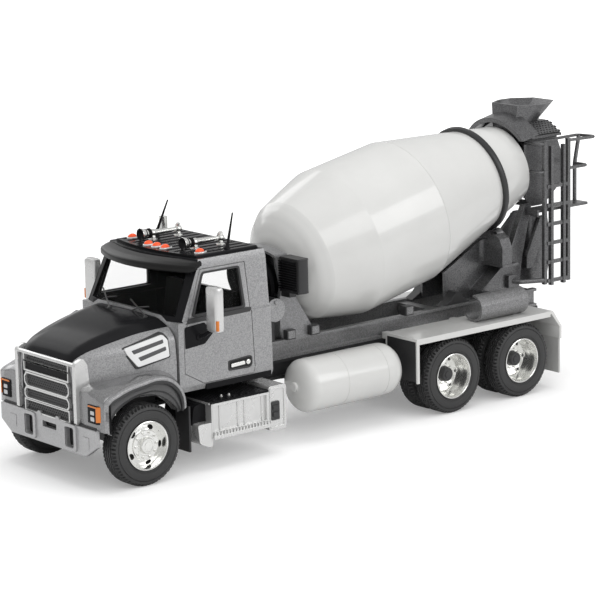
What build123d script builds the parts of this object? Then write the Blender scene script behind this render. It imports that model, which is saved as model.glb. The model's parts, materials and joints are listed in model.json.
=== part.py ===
"""Scale model of a three-axle concrete mixer truck, 1:50, in millimetres.

+Z up, the front towards -Y, the driver's (left) side towards +X. The origin lies on the ground
under the middle of the model's overall box. Heights follow from the tyre, and every lengthwise
place follows from the front axle.
"""

import os
from math import cos, radians, sin, sqrt, tan

from build123d import *

os.makedirs("parts", exist_ok=True)

# ---- driving dimensions -------------------------------------------------------------------
tyre_r = 10.5            # rolling radius of every tyre
front_overhang = 14.3    # foremost face, the bumper, to front axle
axle_1_to_2 = 104.3      # front axle to first drive axle
tandem = 26.1            # between the drive axles
rear_overhang = 38.7     # last axle to the end of the top handrail
overall_length = front_overhang + axle_1_to_2 + tandem + rear_overhang
running_gap = 0.06       # radial clearance of a rod in its bore

front_y = -overall_length / 2 + front_overhang   # front axle
drive_y = [front_y + axle_1_to_2, front_y + axle_1_to_2 + tandem]
tandem_y = sum(drive_y) / 2

# chassis
rail_x = 7.2             # inner face of a rail
rail_t = 1.7             # rail thickness
rail_h = 5.2             # rail height
rail_z = tyre_r + 5.1    # underside of the rails
frame_z = rail_z + rail_h            # top of the rails
rail_out = rail_x + rail_t
rod_r = 1.0              # axle rods

# wheels
front_tyre_w = 5.9
dual_tyre_w = 5.6
dual_gap = 0.9
wheel_out = 24.1         # outer face of the tyres
lip_r = 6.35             # visible lip of the rim
hub_r = 2.6

# cab and hood
cab_half = 21.0          # half width at the doors
cab_front = front_y + 12.7
cab_rear = front_y + 43.0
cab_z = frame_z + 0.2    # underside of the cab
belt_z = frame_z + 18.7
eave_z = frame_z + 33.5  # top of the silver side
roof_z = frame_z + 34.1
wall = 1.0               # cab and hood walls
door_gap = 0.12
hood_gap = 0.4           # seam between hood and cab

# mixer
sub_h = 5.2              # height of the mixer's own rails
sub_z = frame_z + sub_h
drum_y = front_y + 58.8  # a point on the drum's axis
drum_z = frame_z + 21.9
drum_tilt = 12.44
drum_wall = 1.0
shaft_r = 2.0
drum_len = axle_1_to_2 + tandem - 41.7   # axis point to the mouth
rear_cone = 40.6         # mouth back to the start of the rear cone
ring_back = 13.27        # mouth back to the middle of the track ring


def block(x0, x1, y0, y1, z0, z1, mode=Mode.ADD):
    """A box between two corners."""
    with Locations(((x0 + x1) / 2, (y0 + y1) / 2, (z0 + z1) / 2)):
        Box(x1 - x0, y1 - y0, z1 - z0, mode=mode)


def rod(start, end, radius, mode=Mode.ADD):
    """A round bar between two points."""
    a, b = Vector(*start), Vector(*end)
    with BuildSketch(Plane(origin=a, z_dir=b - a)) as section:
        Circle(radius)
    extrude(section.sketch, amount=(b - a).length, mode=mode)


def side_plate(outline, x0, x1, mode=Mode.ADD):
    """A plate of outline (y, z), between two x."""
    with BuildSketch(Plane.YZ.offset(x0)) as face:
        with BuildLine():
            Polyline(*outline, close=True)
        make_face()
    extrude(face.sketch, amount=x1 - x0, mode=mode)


def front_plate(outline, y0, y1, mode=Mode.ADD):
    """A plate of outline (x, z), between two y."""
    with BuildSketch(Plane.XZ.offset(-y0)) as face:
        with BuildLine():
            Polyline(*outline, close=True)
        make_face()
    extrude(face.sketch, amount=-(y1 - y0), mode=mode)


def plan_plate(outline, z0, z1, mode=Mode.ADD):
    """A plate of outline (x, y), between two heights."""
    with BuildSketch(Plane.XY.offset(z0)) as face:
        with BuildLine():
            Polyline(*outline, close=True)
        make_face()
    extrude(face.sketch, amount=z1 - z0, mode=mode)


def pipe(points, radius, bend, mode=Mode.ADD):
    """A tube along straight runs joined by bends."""
    with BuildLine() as path:
        FilletPolyline(*points, radius=bend)
    with BuildSketch(Plane(origin=path.line @ 0, z_dir=path.line % 0)) as section:
        Circle(radius)
    sweep(section.sketch, path=path.line, mode=mode)


def both_sides():
    """Repeat everything made so far on the other side."""
    mirror(about=Plane.YZ)


def on_axis(s, up=0.0):
    """A point at station s of the drum's axis, moved up square to it."""
    t = radians(drum_tilt)
    return (0, drum_y + s * cos(t) - up * sin(t), drum_z + s * sin(t) + up * cos(t))


drum_dir = Vector(0, cos(radians(drum_tilt)), sin(radians(drum_tilt)))
ring_s = drum_len - ring_back            # station of the track ring
mouth_y, mouth_z = on_axis(drum_len)[1:]

# ---- chassis ------------------------------------------------------------------------------
frame_front = front_y - 12.2
frame_rear = drive_y[1] + 21.0
cross_y = [front_y - 10.6, front_y + 40.0, front_y + 62.0, front_y + 84.0, tandem_y, frame_rear - 3.0]
cross_len = 3.0
with BuildPart() as chassis_frame:
    block(rail_x, rail_out, frame_front, frame_rear, rail_z, frame_z)
    block(rail_x + 0.6, rail_out + 0.01, frame_front - 0.01, frame_rear + 0.01, rail_z + 0.8,
          frame_z - 0.8, mode=Mode.SUBTRACT)
    both_sides()
    for y in cross_y:
        block(-rail_x, rail_x, y, y + cross_len, rail_z + 1.0, frame_z - 1.0)

spring_t = 1.2
beam_half = 14.4
with BuildPart() as front_axle_beam:
    block(-beam_half, beam_half, front_y - 1.5, front_y + 1.5, tyre_r - 1.8, tyre_r + 1.9)
    block(rail_x, rail_out, front_y - 3.0, front_y + 3.0, tyre_r + 1.2, tyre_r + 2.9)
    block(rail_x, rail_out, front_y - 10.6, front_y + 12.2, tyre_r + 2.9, tyre_r + 2.9 + spring_t)
    for y in (front_y - 10.6, front_y + 10.4):
        block(rail_x, rail_out, y, y + 1.8, tyre_r + 2.9, rail_z)
    block(-rail_out, -rail_x, front_y - 3.0, front_y + 3.0, tyre_r + 1.2, tyre_r + 2.9)
    block(-rail_out, -rail_x, front_y - 10.6, front_y + 12.2, tyre_r + 2.9, tyre_r + 2.9 + spring_t)
    for y in (front_y - 10.6, front_y + 10.4):
        block(-rail_out, -rail_x, y, y + 1.8, tyre_r + 2.9, rail_z)
    rod((-beam_half - 1, front_y, tyre_r), (beam_half + 1, front_y, tyre_r), rod_r + running_gap,
        mode=Mode.SUBTRACT)

dual_in = wheel_out - 2 * dual_tyre_w - dual_gap     # inner face of the inner tyre
housing_half = dual_in - 0.9
gearbox_rear = front_y + 38.0
shaft_z = tyre_r + 4.6
with BuildPart() as rear_suspension:
    for y in drive_y:
        rod((-housing_half, y, tyre_r), (housing_half, y, tyre_r), 2.0)
        rod((0, y - 3.6, tyre_r + 0.4), (0, y + 3.6, tyre_r + 0.4), 3.6)
    for x0, x1 in ((rail_x, rail_out), (-rail_out, -rail_x)):
        block(x0, x1, drive_y[0] - 2.4, drive_y[1] + 2.4, tyre_r - 1.4, tyre_r + 1.4)
        block(x0, x1, tandem_y - 3.4, tandem_y + 3.4, tyre_r + 0.5, rail_z)
    for y in drive_y:
        rod((-housing_half - 1, y, tyre_r), (housing_half + 1, y, tyre_r), rod_r + running_gap,
            mode=Mode.SUBTRACT)
    rod((0, gearbox_rear + 0.1, shaft_z), (0, drive_y[0] - 3.6, tyre_r + 0.9), 0.9)
    rod((0, drive_y[0] + 3.6, tyre_r + 0.6), (0, drive_y[1] - 3.6, tyre_r + 0.6), 0.9)

with BuildPart() as engine_block:
    block(-4.6, 4.6, front_y - 7.6, front_y + 12.0, rail_z + 0.2, frame_z + 5.0)
    block(-3.4, 3.4, front_y - 6.8, front_y + 11.0, frame_z + 5.0, frame_z + 7.0)
    block(-rail_x, rail_x, front_y + 1.0, front_y + 4.0, rail_z + 1.5, frame_z - 1.5)
    rod((0, front_y + 12.0, rail_z + 1.6), (0, front_y + 24.0, rail_z + 1.6), 3.0)
    rod((0, front_y + 24.0, rail_z + 1.3), (0, gearbox_rear, shaft_z), 2.4)
    # radiator on the front cross member
    block(-8.8, 8.8, front_y - 11.0, front_y - 9.2, frame_z, frame_z + 9.0)
    block(-rail_out, rail_out, front_y - 11.0, front_y - 9.2, frame_z, frame_z + 0.8)

bumper_half = 21.9
bumper_top = tyre_r + 5.7
bumper_low = tyre_r - 1.6
bumper_end = tyre_r + 1.3
bumper_y = front_y - front_overhang
bumper_deep = 1.6
tow_x = 9.1
with BuildPart() as front_bumper:
    front_plate([(-bumper_half, bumper_top), (bumper_half, bumper_top), (bumper_half, bumper_end),
                 (16.6, bumper_low), (-16.6, bumper_low), (-bumper_half, bumper_end)],
                bumper_y, bumper_y + bumper_deep)
    front_plate([(-bumper_half + 0.8, bumper_top - 0.7), (bumper_half - 0.8, bumper_top - 0.7),
                 (bumper_half - 0.8, bumper_end + 0.3), (16.2, bumper_low + 0.7),
                 (-16.2, bumper_low + 0.7), (-bumper_half + 0.8, bumper_end + 0.3)],
                bumper_y + 0.8, bumper_y + bumper_deep + 0.1, mode=Mode.SUBTRACT)
    block(-4.2, 4.2, bumper_y, bumper_y + 0.7, bumper_top - 0.5, bumper_top + 0.7)
    for x in (-tow_x, tow_x):
        with BuildSketch(Plane.XZ.offset(-bumper_y + 1)):
            with Locations((x, tyre_r + 2.4)):
                RectangleRounded(2.9, 3.4, 0.5)
        extrude(amount=-3.0, mode=Mode.SUBTRACT)
    for x in (-rail_out, rail_x):
        block(x, x + rail_t, bumper_y + 0.7, frame_front, rail_z + 0.1, rail_z + 0.5)
        block(x, x + rail_t, bumper_y + 0.7, frame_front, rail_z - 2.6, rail_z + 0.1)

# ---- wheels, tyres and their rods -----------------------------------------------------------
bulge_r = lip_r + 0.482 * (tyre_r - lip_r)   # widest ring of the sidewall


def tyre_ring(y, x0, width):
    """One tyre from x0 outwards, as a ring about its axle."""
    with BuildSketch(Plane(origin=(x0, y, tyre_r), x_dir=(1, 0, 0), z_dir=(0, -1, 0))) as section:
        with BuildLine():
            Polyline((0.9, lip_r), (width - 0.9, lip_r), (width - 0.2, lip_r + 0.9), (width, bulge_r),
                     (width - 0.25, tyre_r - 0.9), (width - 0.9, tyre_r), (0.9, tyre_r),
                     (0.25, tyre_r - 0.9), (0, bulge_r), (0.2, lip_r + 0.9), close=True)
        make_face()
    revolve(section.sketch, axis=Axis((0, y, tyre_r), (1, 0, 0)))


def turned(y, outline):
    """A solid turned about the axle at y from an outline of (x, radius)."""
    with BuildSketch(Plane(origin=(0, y, tyre_r), x_dir=(1, 0, 0), z_dir=(0, -1, 0))) as section:
        with BuildLine():
            Polyline(*outline, close=True)
        make_face()
    revolve(section.sketch, axis=Axis((0, y, tyre_r), (1, 0, 0)))


front_in = wheel_out - front_tyre_w
barrel_r = lip_r - 0.7
hand_hole_r = 4.55       # circle of the hand holes
with BuildPart() as left_front_tyre:
    tyre_ring(front_y, front_in, front_tyre_w)
with BuildPart() as front_wheels:
    turned(front_y, [(front_in + 1.0, lip_r), (wheel_out - 0.9, lip_r), (wheel_out - 0.5, lip_r - 0.2),
                     (wheel_out - 0.6, barrel_r), (wheel_out - 1.6, barrel_r - 0.3),
                     (wheel_out - 1.1, hub_r + 1.2), (wheel_out - 1.1, hub_r),
                     (wheel_out + 0.2, hub_r - 0.7),
                     (wheel_out + 0.2, 0), (wheel_out - 2.4, 0), (wheel_out - 2.4, rod_r),
                     (beam_half + 0.5, rod_r), (beam_half + 0.5, hub_r - 0.4),
                     (wheel_out - 2.6, hub_r + 1.0),
                     (wheel_out - 2.8, barrel_r - 0.4), (front_in + 1.0, barrel_r)])
    with BuildSketch(Plane.YZ.offset(wheel_out + 1)):
        with Locations((front_y, tyre_r)):
            with PolarLocations(hand_hole_r, 5, start_angle=66):
                SlotOverall(2.1, 1.1, rotation=90)
    extrude(amount=-4.2, mode=Mode.SUBTRACT)
    both_sides()
    rod((-wheel_out + 2.4, front_y, tyre_r), (wheel_out - 2.4, front_y, tyre_r), rod_r)
with BuildPart() as right_front_tyre:
    add(left_front_tyre.part.mirror(Plane.YZ))

dish_x = dual_in + dual_tyre_w + 1.4     # the disc of the dual wheels
drive_tyres, drive_wheels = [], []
for y in drive_y:
    with BuildPart() as tyres:
        tyre_ring(y, dual_in, dual_tyre_w)
        tyre_ring(y, wheel_out - dual_tyre_w, dual_tyre_w)
        both_sides()
    with BuildPart() as wheels:
        turned(y, [(dual_in + 1.0, lip_r), (wheel_out - 0.9, lip_r), (wheel_out - 0.5, lip_r - 0.2),
                   (wheel_out - 0.6, barrel_r), (wheel_out - 1.6, barrel_r - 0.4),
                   (dish_x + 1.0, barrel_r - 0.7),
                   (dish_x + 0.7, hub_r + 0.2), (wheel_out - 1.3, hub_r - 0.1),
                   (wheel_out - 0.6, hub_r - 0.9),
                   (wheel_out - 0.6, 0), (dish_x + 1.4, 0), (dish_x + 1.4, rod_r),
                   (housing_half + 0.4, rod_r),
                   (housing_half + 0.4, hub_r - 0.4), (dish_x - 0.3, hub_r), (dish_x, barrel_r - 0.4),
                   (dual_in + 1.0, barrel_r)])
        both_sides()
        rod((-dish_x - 1.4, y, tyre_r), (dish_x + 1.4, y, tyre_r), rod_r)
    drive_tyres.append(tyres)
    drive_wheels.append(wheels)

# ---- hood, grille and lamps ------------------------------------------------------------------
# bonnet sections: y, half width and height of the crease, half width and height of the top edge, crown
bonnet = [
    (front_y - 12.9, 13.6, frame_z + 7.4, 12.2, frame_z + 11.2, 0.4),
    (front_y - 10.6, 15.4, frame_z + 8.2, 12.9, frame_z + 13.1, 0.6),
    (front_y - 2.0, 18.4, frame_z + 8.9, 14.8, frame_z + 15.3, 0.9),
    (cab_front - hood_gap, cab_half - 0.8, frame_z + 9.3, cab_half - 3.5, frame_z + 17.2, 1.2),
]
bonnet_low = frame_z + 3.4
arch_r = tyre_r + 1.9    # wheel arch
fender_in = 13.1
fender_out = wheel_out - 0.2
flare_in = fender_out - 1.2
flare_out = wheel_out + 0.2
far_side = wheel_out + 0.5           # cuts through the sides end here
# fender outline from the side: y and z
fender_side = [
    (front_y - 12.9, tyre_r + 6.7), (front_y - 13.0, frame_z + 2.4), (front_y - 12.2, frame_z + 4.0),
    (front_y - 9.7, frame_z + 8.0), (front_y - 6.0, frame_z + 9.2), (front_y + 4.6, frame_z + 9.2),
    (front_y + 7.6, frame_z + 7.8), (cab_front - hood_gap, frame_z + 3.4),
    (cab_front - hood_gap, frame_z - 0.3),
    (front_y + 9.0, tyre_r + 7.0), (front_y - 11.2, tyre_r + 5.2),
]
# edge between the painted fender and its flare
lip_line = [
    (front_y - 11.9, tyre_r + 4.6), (front_y - 11.9, frame_z + 2.6), (front_y - 10.6, frame_z + 4.2),
    (front_y - 4.0, frame_z + 5.9), (front_y + 3.4, frame_z + 6.5), (front_y + 5.4, frame_z + 6.2),
    (cab_front - hood_gap, frame_z + 1.3), (cab_front - hood_gap, frame_z - 1.0),
    (front_y + 9.6, tyre_r + 6.2),
    (front_y - 9.0, tyre_r + 4.6),
]
cheek = [
    (front_y - 13.9, tyre_r + 5.95), (front_y - 12.4, tyre_r + 5.95), (front_y - 12.2, frame_z + 1.4),
    (front_y - 9.7, frame_z + 4.0), (front_y - 10.9, frame_z + 10.4), (front_y - 12.2, frame_z + 11.8),
    (front_y - 13.4, frame_z + 11.3), (front_y - 13.9, frame_z + 9.0),
]
cheek_x = 13.0
lamp_in, lamp_out = 16.2, 21.5
lamp_low, lamp_top = tyre_r + 7.8, tyre_r + 12.6
lamp_y = front_y - 13.3
lamp_back = front_y - 12.2


def bonnet_loft(inset, mode=Mode.ADD):
    """The bonnet's body, drawn in by an inset and a little longer than itself when it cuts."""
    low = bonnet_low - inset
    faces = []
    for y, crease_x, crease_z, edge_x, edge_z, crown in bonnet:
        if inset:
            y += 0.01 if y > front_y else -0.01
        with BuildSketch(Plane.XZ.offset(-y)) as section:
            with BuildLine():
                sides = Polyline((-edge_x + inset, edge_z - inset), (-crease_x + inset, crease_z),
                                 (-crease_x + inset, low), (crease_x - inset, low),
                                 (crease_x - inset, crease_z), (edge_x - inset, edge_z - inset))
                ThreePointArc(sides @ 1, (0, edge_z + crown - inset), sides @ 0)
            make_face()
        faces.append(section.sketch)
    loft(faces, ruled=True, mode=mode)


with BuildPart() as hood:
    bonnet_loft(0)
    side_plate(fender_side, fender_in, fender_out)
    plan_plate([(20.6, front_y - 15), (far_side, front_y - 15), (far_side, front_y - 10),
                (fender_out, front_y - 10)],
               tyre_r, frame_z + 12, mode=Mode.SUBTRACT)
    front_plate([(fender_out - 3.3, frame_z + 9.3), (far_side, frame_z + 9.3),
                 (far_side, frame_z + 6.2)],
                front_y - 16, front_y + 14, mode=Mode.SUBTRACT)
    side_plate(lip_line, flare_in, far_side, mode=Mode.SUBTRACT)
    rod((12.0, front_y, tyre_r), (far_side, front_y, tyre_r), arch_r, mode=Mode.SUBTRACT)
    block(lamp_in, lamp_out, lamp_y - 0.5, lamp_back, lamp_low, lamp_top, mode=Mode.SUBTRACT)
    both_sides()
    bonnet_loft(wall, mode=Mode.SUBTRACT)
    side_plate(cheek, -cheek_x, cheek_x, mode=Mode.SUBTRACT)
    block(-cheek_x, cheek_x, front_y - 15, front_y - 12.4, rail_z, frame_z + 11, mode=Mode.SUBTRACT)

with BuildPart() as fender_flares:
    side_plate(lip_line, flare_in, flare_out)
    rod((flare_in - 0.7, front_y, tyre_r), (far_side, front_y, tyre_r), arch_r, mode=Mode.SUBTRACT)
    both_sides()

with BuildPart() as headlamps:
    block(lamp_in, lamp_out, lamp_y, lamp_back, lamp_low, lamp_top)
    both_sides()

grille_low = tyre_r + 5.95
grille_half = 10.3
bar_z = [frame_z + 10.2, frame_z + 8.6, frame_z + 5.8, frame_z + 2.4, frame_z - 0.9]
with BuildPart() as grille_surround:
    side_plate(cheek, cheek_x - 0.8, cheek_x)
    both_sides()
    for x in (-cheek_x + 0.8, grille_half):
        block(x, x + cheek_x - 0.8 - grille_half, front_y - 13.9, front_y - 12.9, grille_low,
              frame_z + 10.4)
    block(-cheek_x + 0.8, cheek_x - 0.8, front_y - 13.9, front_y - 12.9, frame_z + 9.9, frame_z + 11.0)
    for z in bar_z[1:]:
        block(-grille_half, grille_half, front_y - 13.8, front_y - 13.1, z, z + 0.55)

with BuildPart() as grille_mesh:
    block(-grille_half, grille_half, front_y - 12.9, front_y - 12.5, grille_low, frame_z + 10.0)
    block(-8.2, 8.2, front_y - 13.5, front_y - 12.9, frame_z + 6.5, frame_z + 8.5)

# ---- cab --------------------------------------------------------------------------------------
# half widths of the cab at each height, from the sill to the roof edge
cab_widths = [(cab_half - 0.6, cab_z), (cab_half, cab_z + 1.5), (cab_half, belt_z - 0.4),
              (cab_half - 0.6, belt_z),
              (cab_half - 1.4, eave_z - 1.9), (cab_half - 2.0, eave_z)]
roof_half = cab_half - 2.4
screen_low_z = belt_z - 0.4       # foot of the windscreen
screen_lean = 0.48                # windscreen's run back for each unit of height
screen_bow = 4.0                  # how far the sides of the windscreen sweep back
screen_y = front_y + 10.4         # windscreen foot on the centre line
back_lean = 0.02                  # rear wall's run forward for each unit of height


def cab_body(inset, mode=Mode.ADD):
    """The cab's outer form drawn in by an inset: a front outline met by the bowed screen and rear wall."""
    with BuildSketch(Plane.XZ.offset(-(cab_front + inset))) as front:
        with BuildLine():
            Polyline(*[(x, z) for x, z in cab_widths], *[(-x, z) for x, z in reversed(cab_widths)],
                     close=True)
        make_face()
        if inset:
            offset(amount=-inset, kind=Kind.INTERSECTION, mode=Mode.REPLACE)
    with BuildSketch(Plane.YZ) as side:
        with BuildLine():
            Polyline((cab_front + inset, cab_z - 1), (cab_front + inset, screen_low_z + inset),
                     (cab_front - 8, screen_low_z + inset), (cab_front - 8, eave_z + 1),
                     (cab_rear - inset - back_lean * (eave_z + 1 - cab_z), eave_z + 1),
                     (cab_rear - inset, cab_z - 1), close=True)
        make_face()
    edge = sqrt(1 + screen_lean ** 2) * inset
    foot = screen_y + edge
    bow = foot + screen_bow
    with BuildSketch(Plane.XY.offset(screen_low_z)) as screen:
        with BuildLine():
            arc = ThreePointArc((-cab_half, bow), (0, foot), (cab_half, bow))
            Polyline(arc @ 1, (cab_half + 2, bow + 1), (cab_half + 2, front_y + 80),
                     (-cab_half - 2, front_y + 80),
                     (-cab_half - 2, bow + 1), arc @ 0)
        make_face()
    lean = Vector(0, screen_lean, 1)
    upper = extrude(screen.sketch, amount=(eave_z - screen_low_z + 2) * lean.length,
                    dir=lean.normalized(),
                    mode=Mode.PRIVATE)
    shape = extrude(front.sketch, amount=-(cab_rear - cab_front + 20), mode=Mode.PRIVATE)
    slab = extrude(side.sketch, amount=cab_half + 2, both=True, mode=Mode.PRIVATE)
    below = Box(60, overall_length, screen_low_z, align=(Align.CENTER, Align.CENTER, Align.MIN),
                mode=Mode.PRIVATE)
    add(shape & slab & (upper + below), mode=mode)


def outline_inset(outline, amount):
    """A side outline drawn in all round, as a face in the YZ plane."""
    with BuildSketch(Plane.YZ) as face:
        with BuildLine():
            Polyline(*outline, close=True)
        make_face()
        if amount:
            offset(amount=-amount, kind=Kind.INTERSECTION, mode=Mode.REPLACE)
    return face.sketch


door_x = cab_half - 6.0  # the door openings are cut outwards from here
door_outline = [
    (front_y + 14.4, cab_z + 4.9), (front_y + 14.4, belt_z - 2.5), (front_y + 16.2, belt_z - 0.3),
    (front_y + 20.9, eave_z - 2.4), (front_y + 35.4, eave_z - 2.4), (front_y + 36.3, belt_z - 0.5),
    (front_y + 37.1, cab_z + 3.2), (front_y + 36.6, cab_z + 1.5), (front_y + 20.4, cab_z + 1.5),
]
window_outline = [
    (front_y + 17.6, belt_z + 0.9), (front_y + 21.7, eave_z - 3.4), (front_y + 33.2, eave_z - 3.4),
    (front_y + 34.0, belt_z + 0.9),
]
sill_half, head_half = cab_half - 3.0, cab_half - 4.1      # windscreen opening, foot and head
screen_opening = [(-sill_half, belt_z + 0.9), (sill_half, belt_z + 0.9), (head_half, eave_z - 2.7),
                  (-head_half, eave_z - 2.7)]
back_half = 8.5
glass_t = 0.4
glass_set = 0.3          # how far the glass lies in from the outer skin

with BuildPart() as cab_wall:
    cab_body(0)
    cab_body(wall, mode=Mode.SUBTRACT)

with BuildPart() as glass_skin:
    cab_body(glass_set)
    cab_body(glass_set + glass_t, mode=Mode.SUBTRACT)

door_prism = extrude(outline_inset(door_outline, 0), amount=cab_half + 2, both=True)
door_prism_small = extrude(outline_inset(door_outline, door_gap), amount=cab_half + 2, both=True)
window_prism = extrude(outline_inset(window_outline, 0), amount=cab_half + 2, both=True)

with BuildPart() as middle:
    Box(2 * door_x, overall_length, 2 * overall_length)

with BuildPart() as cab_shell:
    add(cab_wall.part)
    add(door_prism - middle.part, mode=Mode.SUBTRACT)
    front_plate(screen_opening, front_y + 6, front_y + 24, mode=Mode.SUBTRACT)
    block(-back_half, back_half, cab_rear - 9, cab_rear + 1, belt_z + 1.5, eave_z - 4.5,
          mode=Mode.SUBTRACT)

with BuildPart() as left_door:
    add(cab_wall.part & door_prism_small)
    block(-cab_half - 1, door_x, cab_front - 1, cab_rear + 1, cab_z - 1, roof_z + 1, mode=Mode.SUBTRACT)
    add(window_prism, mode=Mode.SUBTRACT)
with BuildPart() as right_door:
    add(left_door.part.mirror(Plane.YZ))

with BuildPart() as back_hole:
    block(-back_half, back_half, cab_rear - 9, cab_rear + 1, belt_z + 1.5, eave_z - 4.5)
with BuildPart() as cab_windows:
    add(glass_skin.part & window_prism)
    block(-door_x, door_x, cab_front - 1, cab_rear + 1, cab_z - 1, roof_z + 1, mode=Mode.SUBTRACT)
    add(glass_skin.part & back_hole.part)
with BuildPart() as screen_hole:
    front_plate(screen_opening, front_y + 6, front_y + 24)
with BuildPart() as windshield:
    add(glass_skin.part & screen_hole.part)

with BuildPart() as cab_roof:
    with BuildSketch(Plane.XY.offset(eave_z)) as roof_plan:
        with BuildLine():
            brow = ThreePointArc((-roof_half, front_y + 21.6), (0, front_y + 18.6),
                                 (roof_half, front_y + 21.6))
            Polyline(brow @ 1, (roof_half, cab_rear - 1.2), (-roof_half, cab_rear - 1.2), brow @ 0)
        make_face()
    extrude(roof_plan.sketch, amount=roof_z - eave_z, taper=30)

visor_t = 0.8
with BuildPart() as sun_visor:
    bands = []
    for z, mid_y, end_y, half in ((eave_z - 3.2, 13.0, 18.6, cab_half - 0.6),
                                  (eave_z - 0.3, 16.6, 21.0, cab_half - 1.0)):
        with BuildSketch(Plane.XY.offset(z)) as band:
            with BuildLine():
                outer = ThreePointArc((-half, front_y + end_y), (0, front_y + mid_y),
                                      (half, front_y + end_y))
                inner = ThreePointArc((half, front_y + end_y + visor_t), (0, front_y + mid_y + visor_t),
                                      (-half, front_y + end_y + visor_t))
                Line(outer @ 1, inner @ 0)
                Line(inner @ 1, outer @ 0)
            make_face()
        bands.append(band.sketch)
    loft(bands, ruled=True)
    cab_body(0, mode=Mode.SUBTRACT)

seat_in, seat_out = 4.5, cab_half - 6.5
floor_z = cab_z + wall
seat_side = [
    (front_y + 27.0, floor_z), (front_y + 26.6, floor_z + 7.0), (front_y + 33.4, floor_z + 6.2),
    (front_y + 35.6, floor_z + 21.0), (front_y + 38.0, floor_z + 20.6), (front_y + 37.0, floor_z),
]
with BuildPart() as seats:
    side_plate(seat_side, seat_in, seat_out)
    both_sides()
dash_side = [
    (cab_front + wall, floor_z + 6.0), (cab_front + wall, belt_z - 1.2), (front_y + 20.6, belt_z - 2.2),
    (front_y + 21.4, belt_z - 5.6), (front_y + 19.4, floor_z + 6.0),
]
with BuildPart() as dashboard:
    side_plate(dash_side, -cab_half + wall + 0.1, cab_half - wall - 0.1)
driver_x = (seat_in + seat_out) / 2
wheel_centre = (driver_x, front_y + 24.4, belt_z - 1.0)
with BuildPart() as steering_wheel:
    wheel_plane = Plane(origin=wheel_centre, z_dir=(0, 1, 0.9))
    with BuildSketch(wheel_plane):
        Circle(3.4)
        Circle(2.7, mode=Mode.SUBTRACT)
        Rectangle(5.8, 0.9)
        Circle(0.9)
    extrude(amount=0.6)
    rod((driver_x, front_y + 20.4, belt_z - 4.6), wheel_centre, 0.5)
    add(dashboard.part, mode=Mode.SUBTRACT)

mirror_in = cab_half + 2.9
mirror_out = mirror_in + 5.2
mirror_low, mirror_high = frame_z + 16.1, frame_z + 27.7
mirror_y = front_y + 19.8
bracket_side = [(front_y + 14.7, belt_z - 7.2), (front_y + 21.2, belt_z - 6.7),
                (front_y + 23.6, belt_z - 4.0),
                (front_y + 14.7, belt_z - 2.2)]
with BuildPart() as mirrors:
    with Locations(((mirror_in + mirror_out) / 2, mirror_y, (mirror_low + mirror_high) / 2)):
        Box(mirror_out - mirror_in, 2.4, mirror_high - mirror_low)
    fillet(mirrors.edges().filter_by(Axis.Z), 0.8)
    side_plate(bracket_side, cab_half, cab_half + 0.4)
    rod((cab_half + 0.2, front_y + 18.6, belt_z - 5.2), (mirror_in + 1.6, mirror_y, mirror_low + 0.6),
        0.5)
    both_sides()

horn_x, horn_z = 9.1, roof_z + 1.7
with BuildPart() as air_horns:
    with BuildSketch(Plane(origin=(horn_x, front_y + 23.2, horn_z), x_dir=(0, 1, 0), z_dir=(1, 0, 0))):
        with BuildLine():
            Polyline((0, 0), (0, 1.6), (0.9, 1.4), (2.4, 1.0), (5.0, 0.75), (13.4, 0.45), (13.4, 0),
                     close=True)
        make_face()
    revolve(axis=Axis((horn_x, front_y, horn_z), (0, 1, 0)))
    block(horn_x - 0.7, horn_x + 0.7, front_y + 35.2, front_y + 36.8, roof_z, horn_z + 0.3)
    rod((horn_x, front_y + 36.0, horn_z), (horn_x, front_y + 36.0, horn_z + 0.9), 1.2)
    block(horn_x - 0.4, horn_x + 0.4, front_y + 25.2, front_y + 26.4, roof_z, horn_z)
    both_sides()

outer_lamp_x = roof_half - 4.0
lamp_places = [(-outer_lamp_x, 25.2), (-3.6, 22.4), (0, 22.4), (3.6, 22.4), (outer_lamp_x, 25.2)]
with BuildPart() as roof_lights:
    for x, y in lamp_places:
        block(x - 1.1, x + 1.1, front_y + y - 1.7, front_y + y + 1.9, roof_z, roof_z + 1.2)

antenna_x = roof_half - 3.3
with BuildPart() as antennas:
    rod((antenna_x, front_y + 33.2, roof_z - 0.2), (antenna_x - 1.4, front_y + 36.4, roof_z + 8.8),
        0.35)
    rod((antenna_x, front_y + 33.2, roof_z), (antenna_x - 0.2, front_y + 33.7, roof_z + 1.6), 0.7)
    both_sides()
    add(cab_roof.part, mode=Mode.SUBTRACT)

stack_x, stack_y = -cab_half - 2.2, front_y + 41.5
with BuildPart() as exhaust_stack:
    rod((stack_x, stack_y, frame_z + 1.0), (stack_x, stack_y, frame_z + 36.6), 1.2)
    rod((stack_x, stack_y, frame_z + 4.0), (stack_x, stack_y, frame_z + 25.0), 1.9)
    for z in (frame_z + 6.0, frame_z + 22.0):
        block(stack_x, -cab_half, stack_y - 0.6, stack_y + 0.6, z, z + 0.8)

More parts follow.
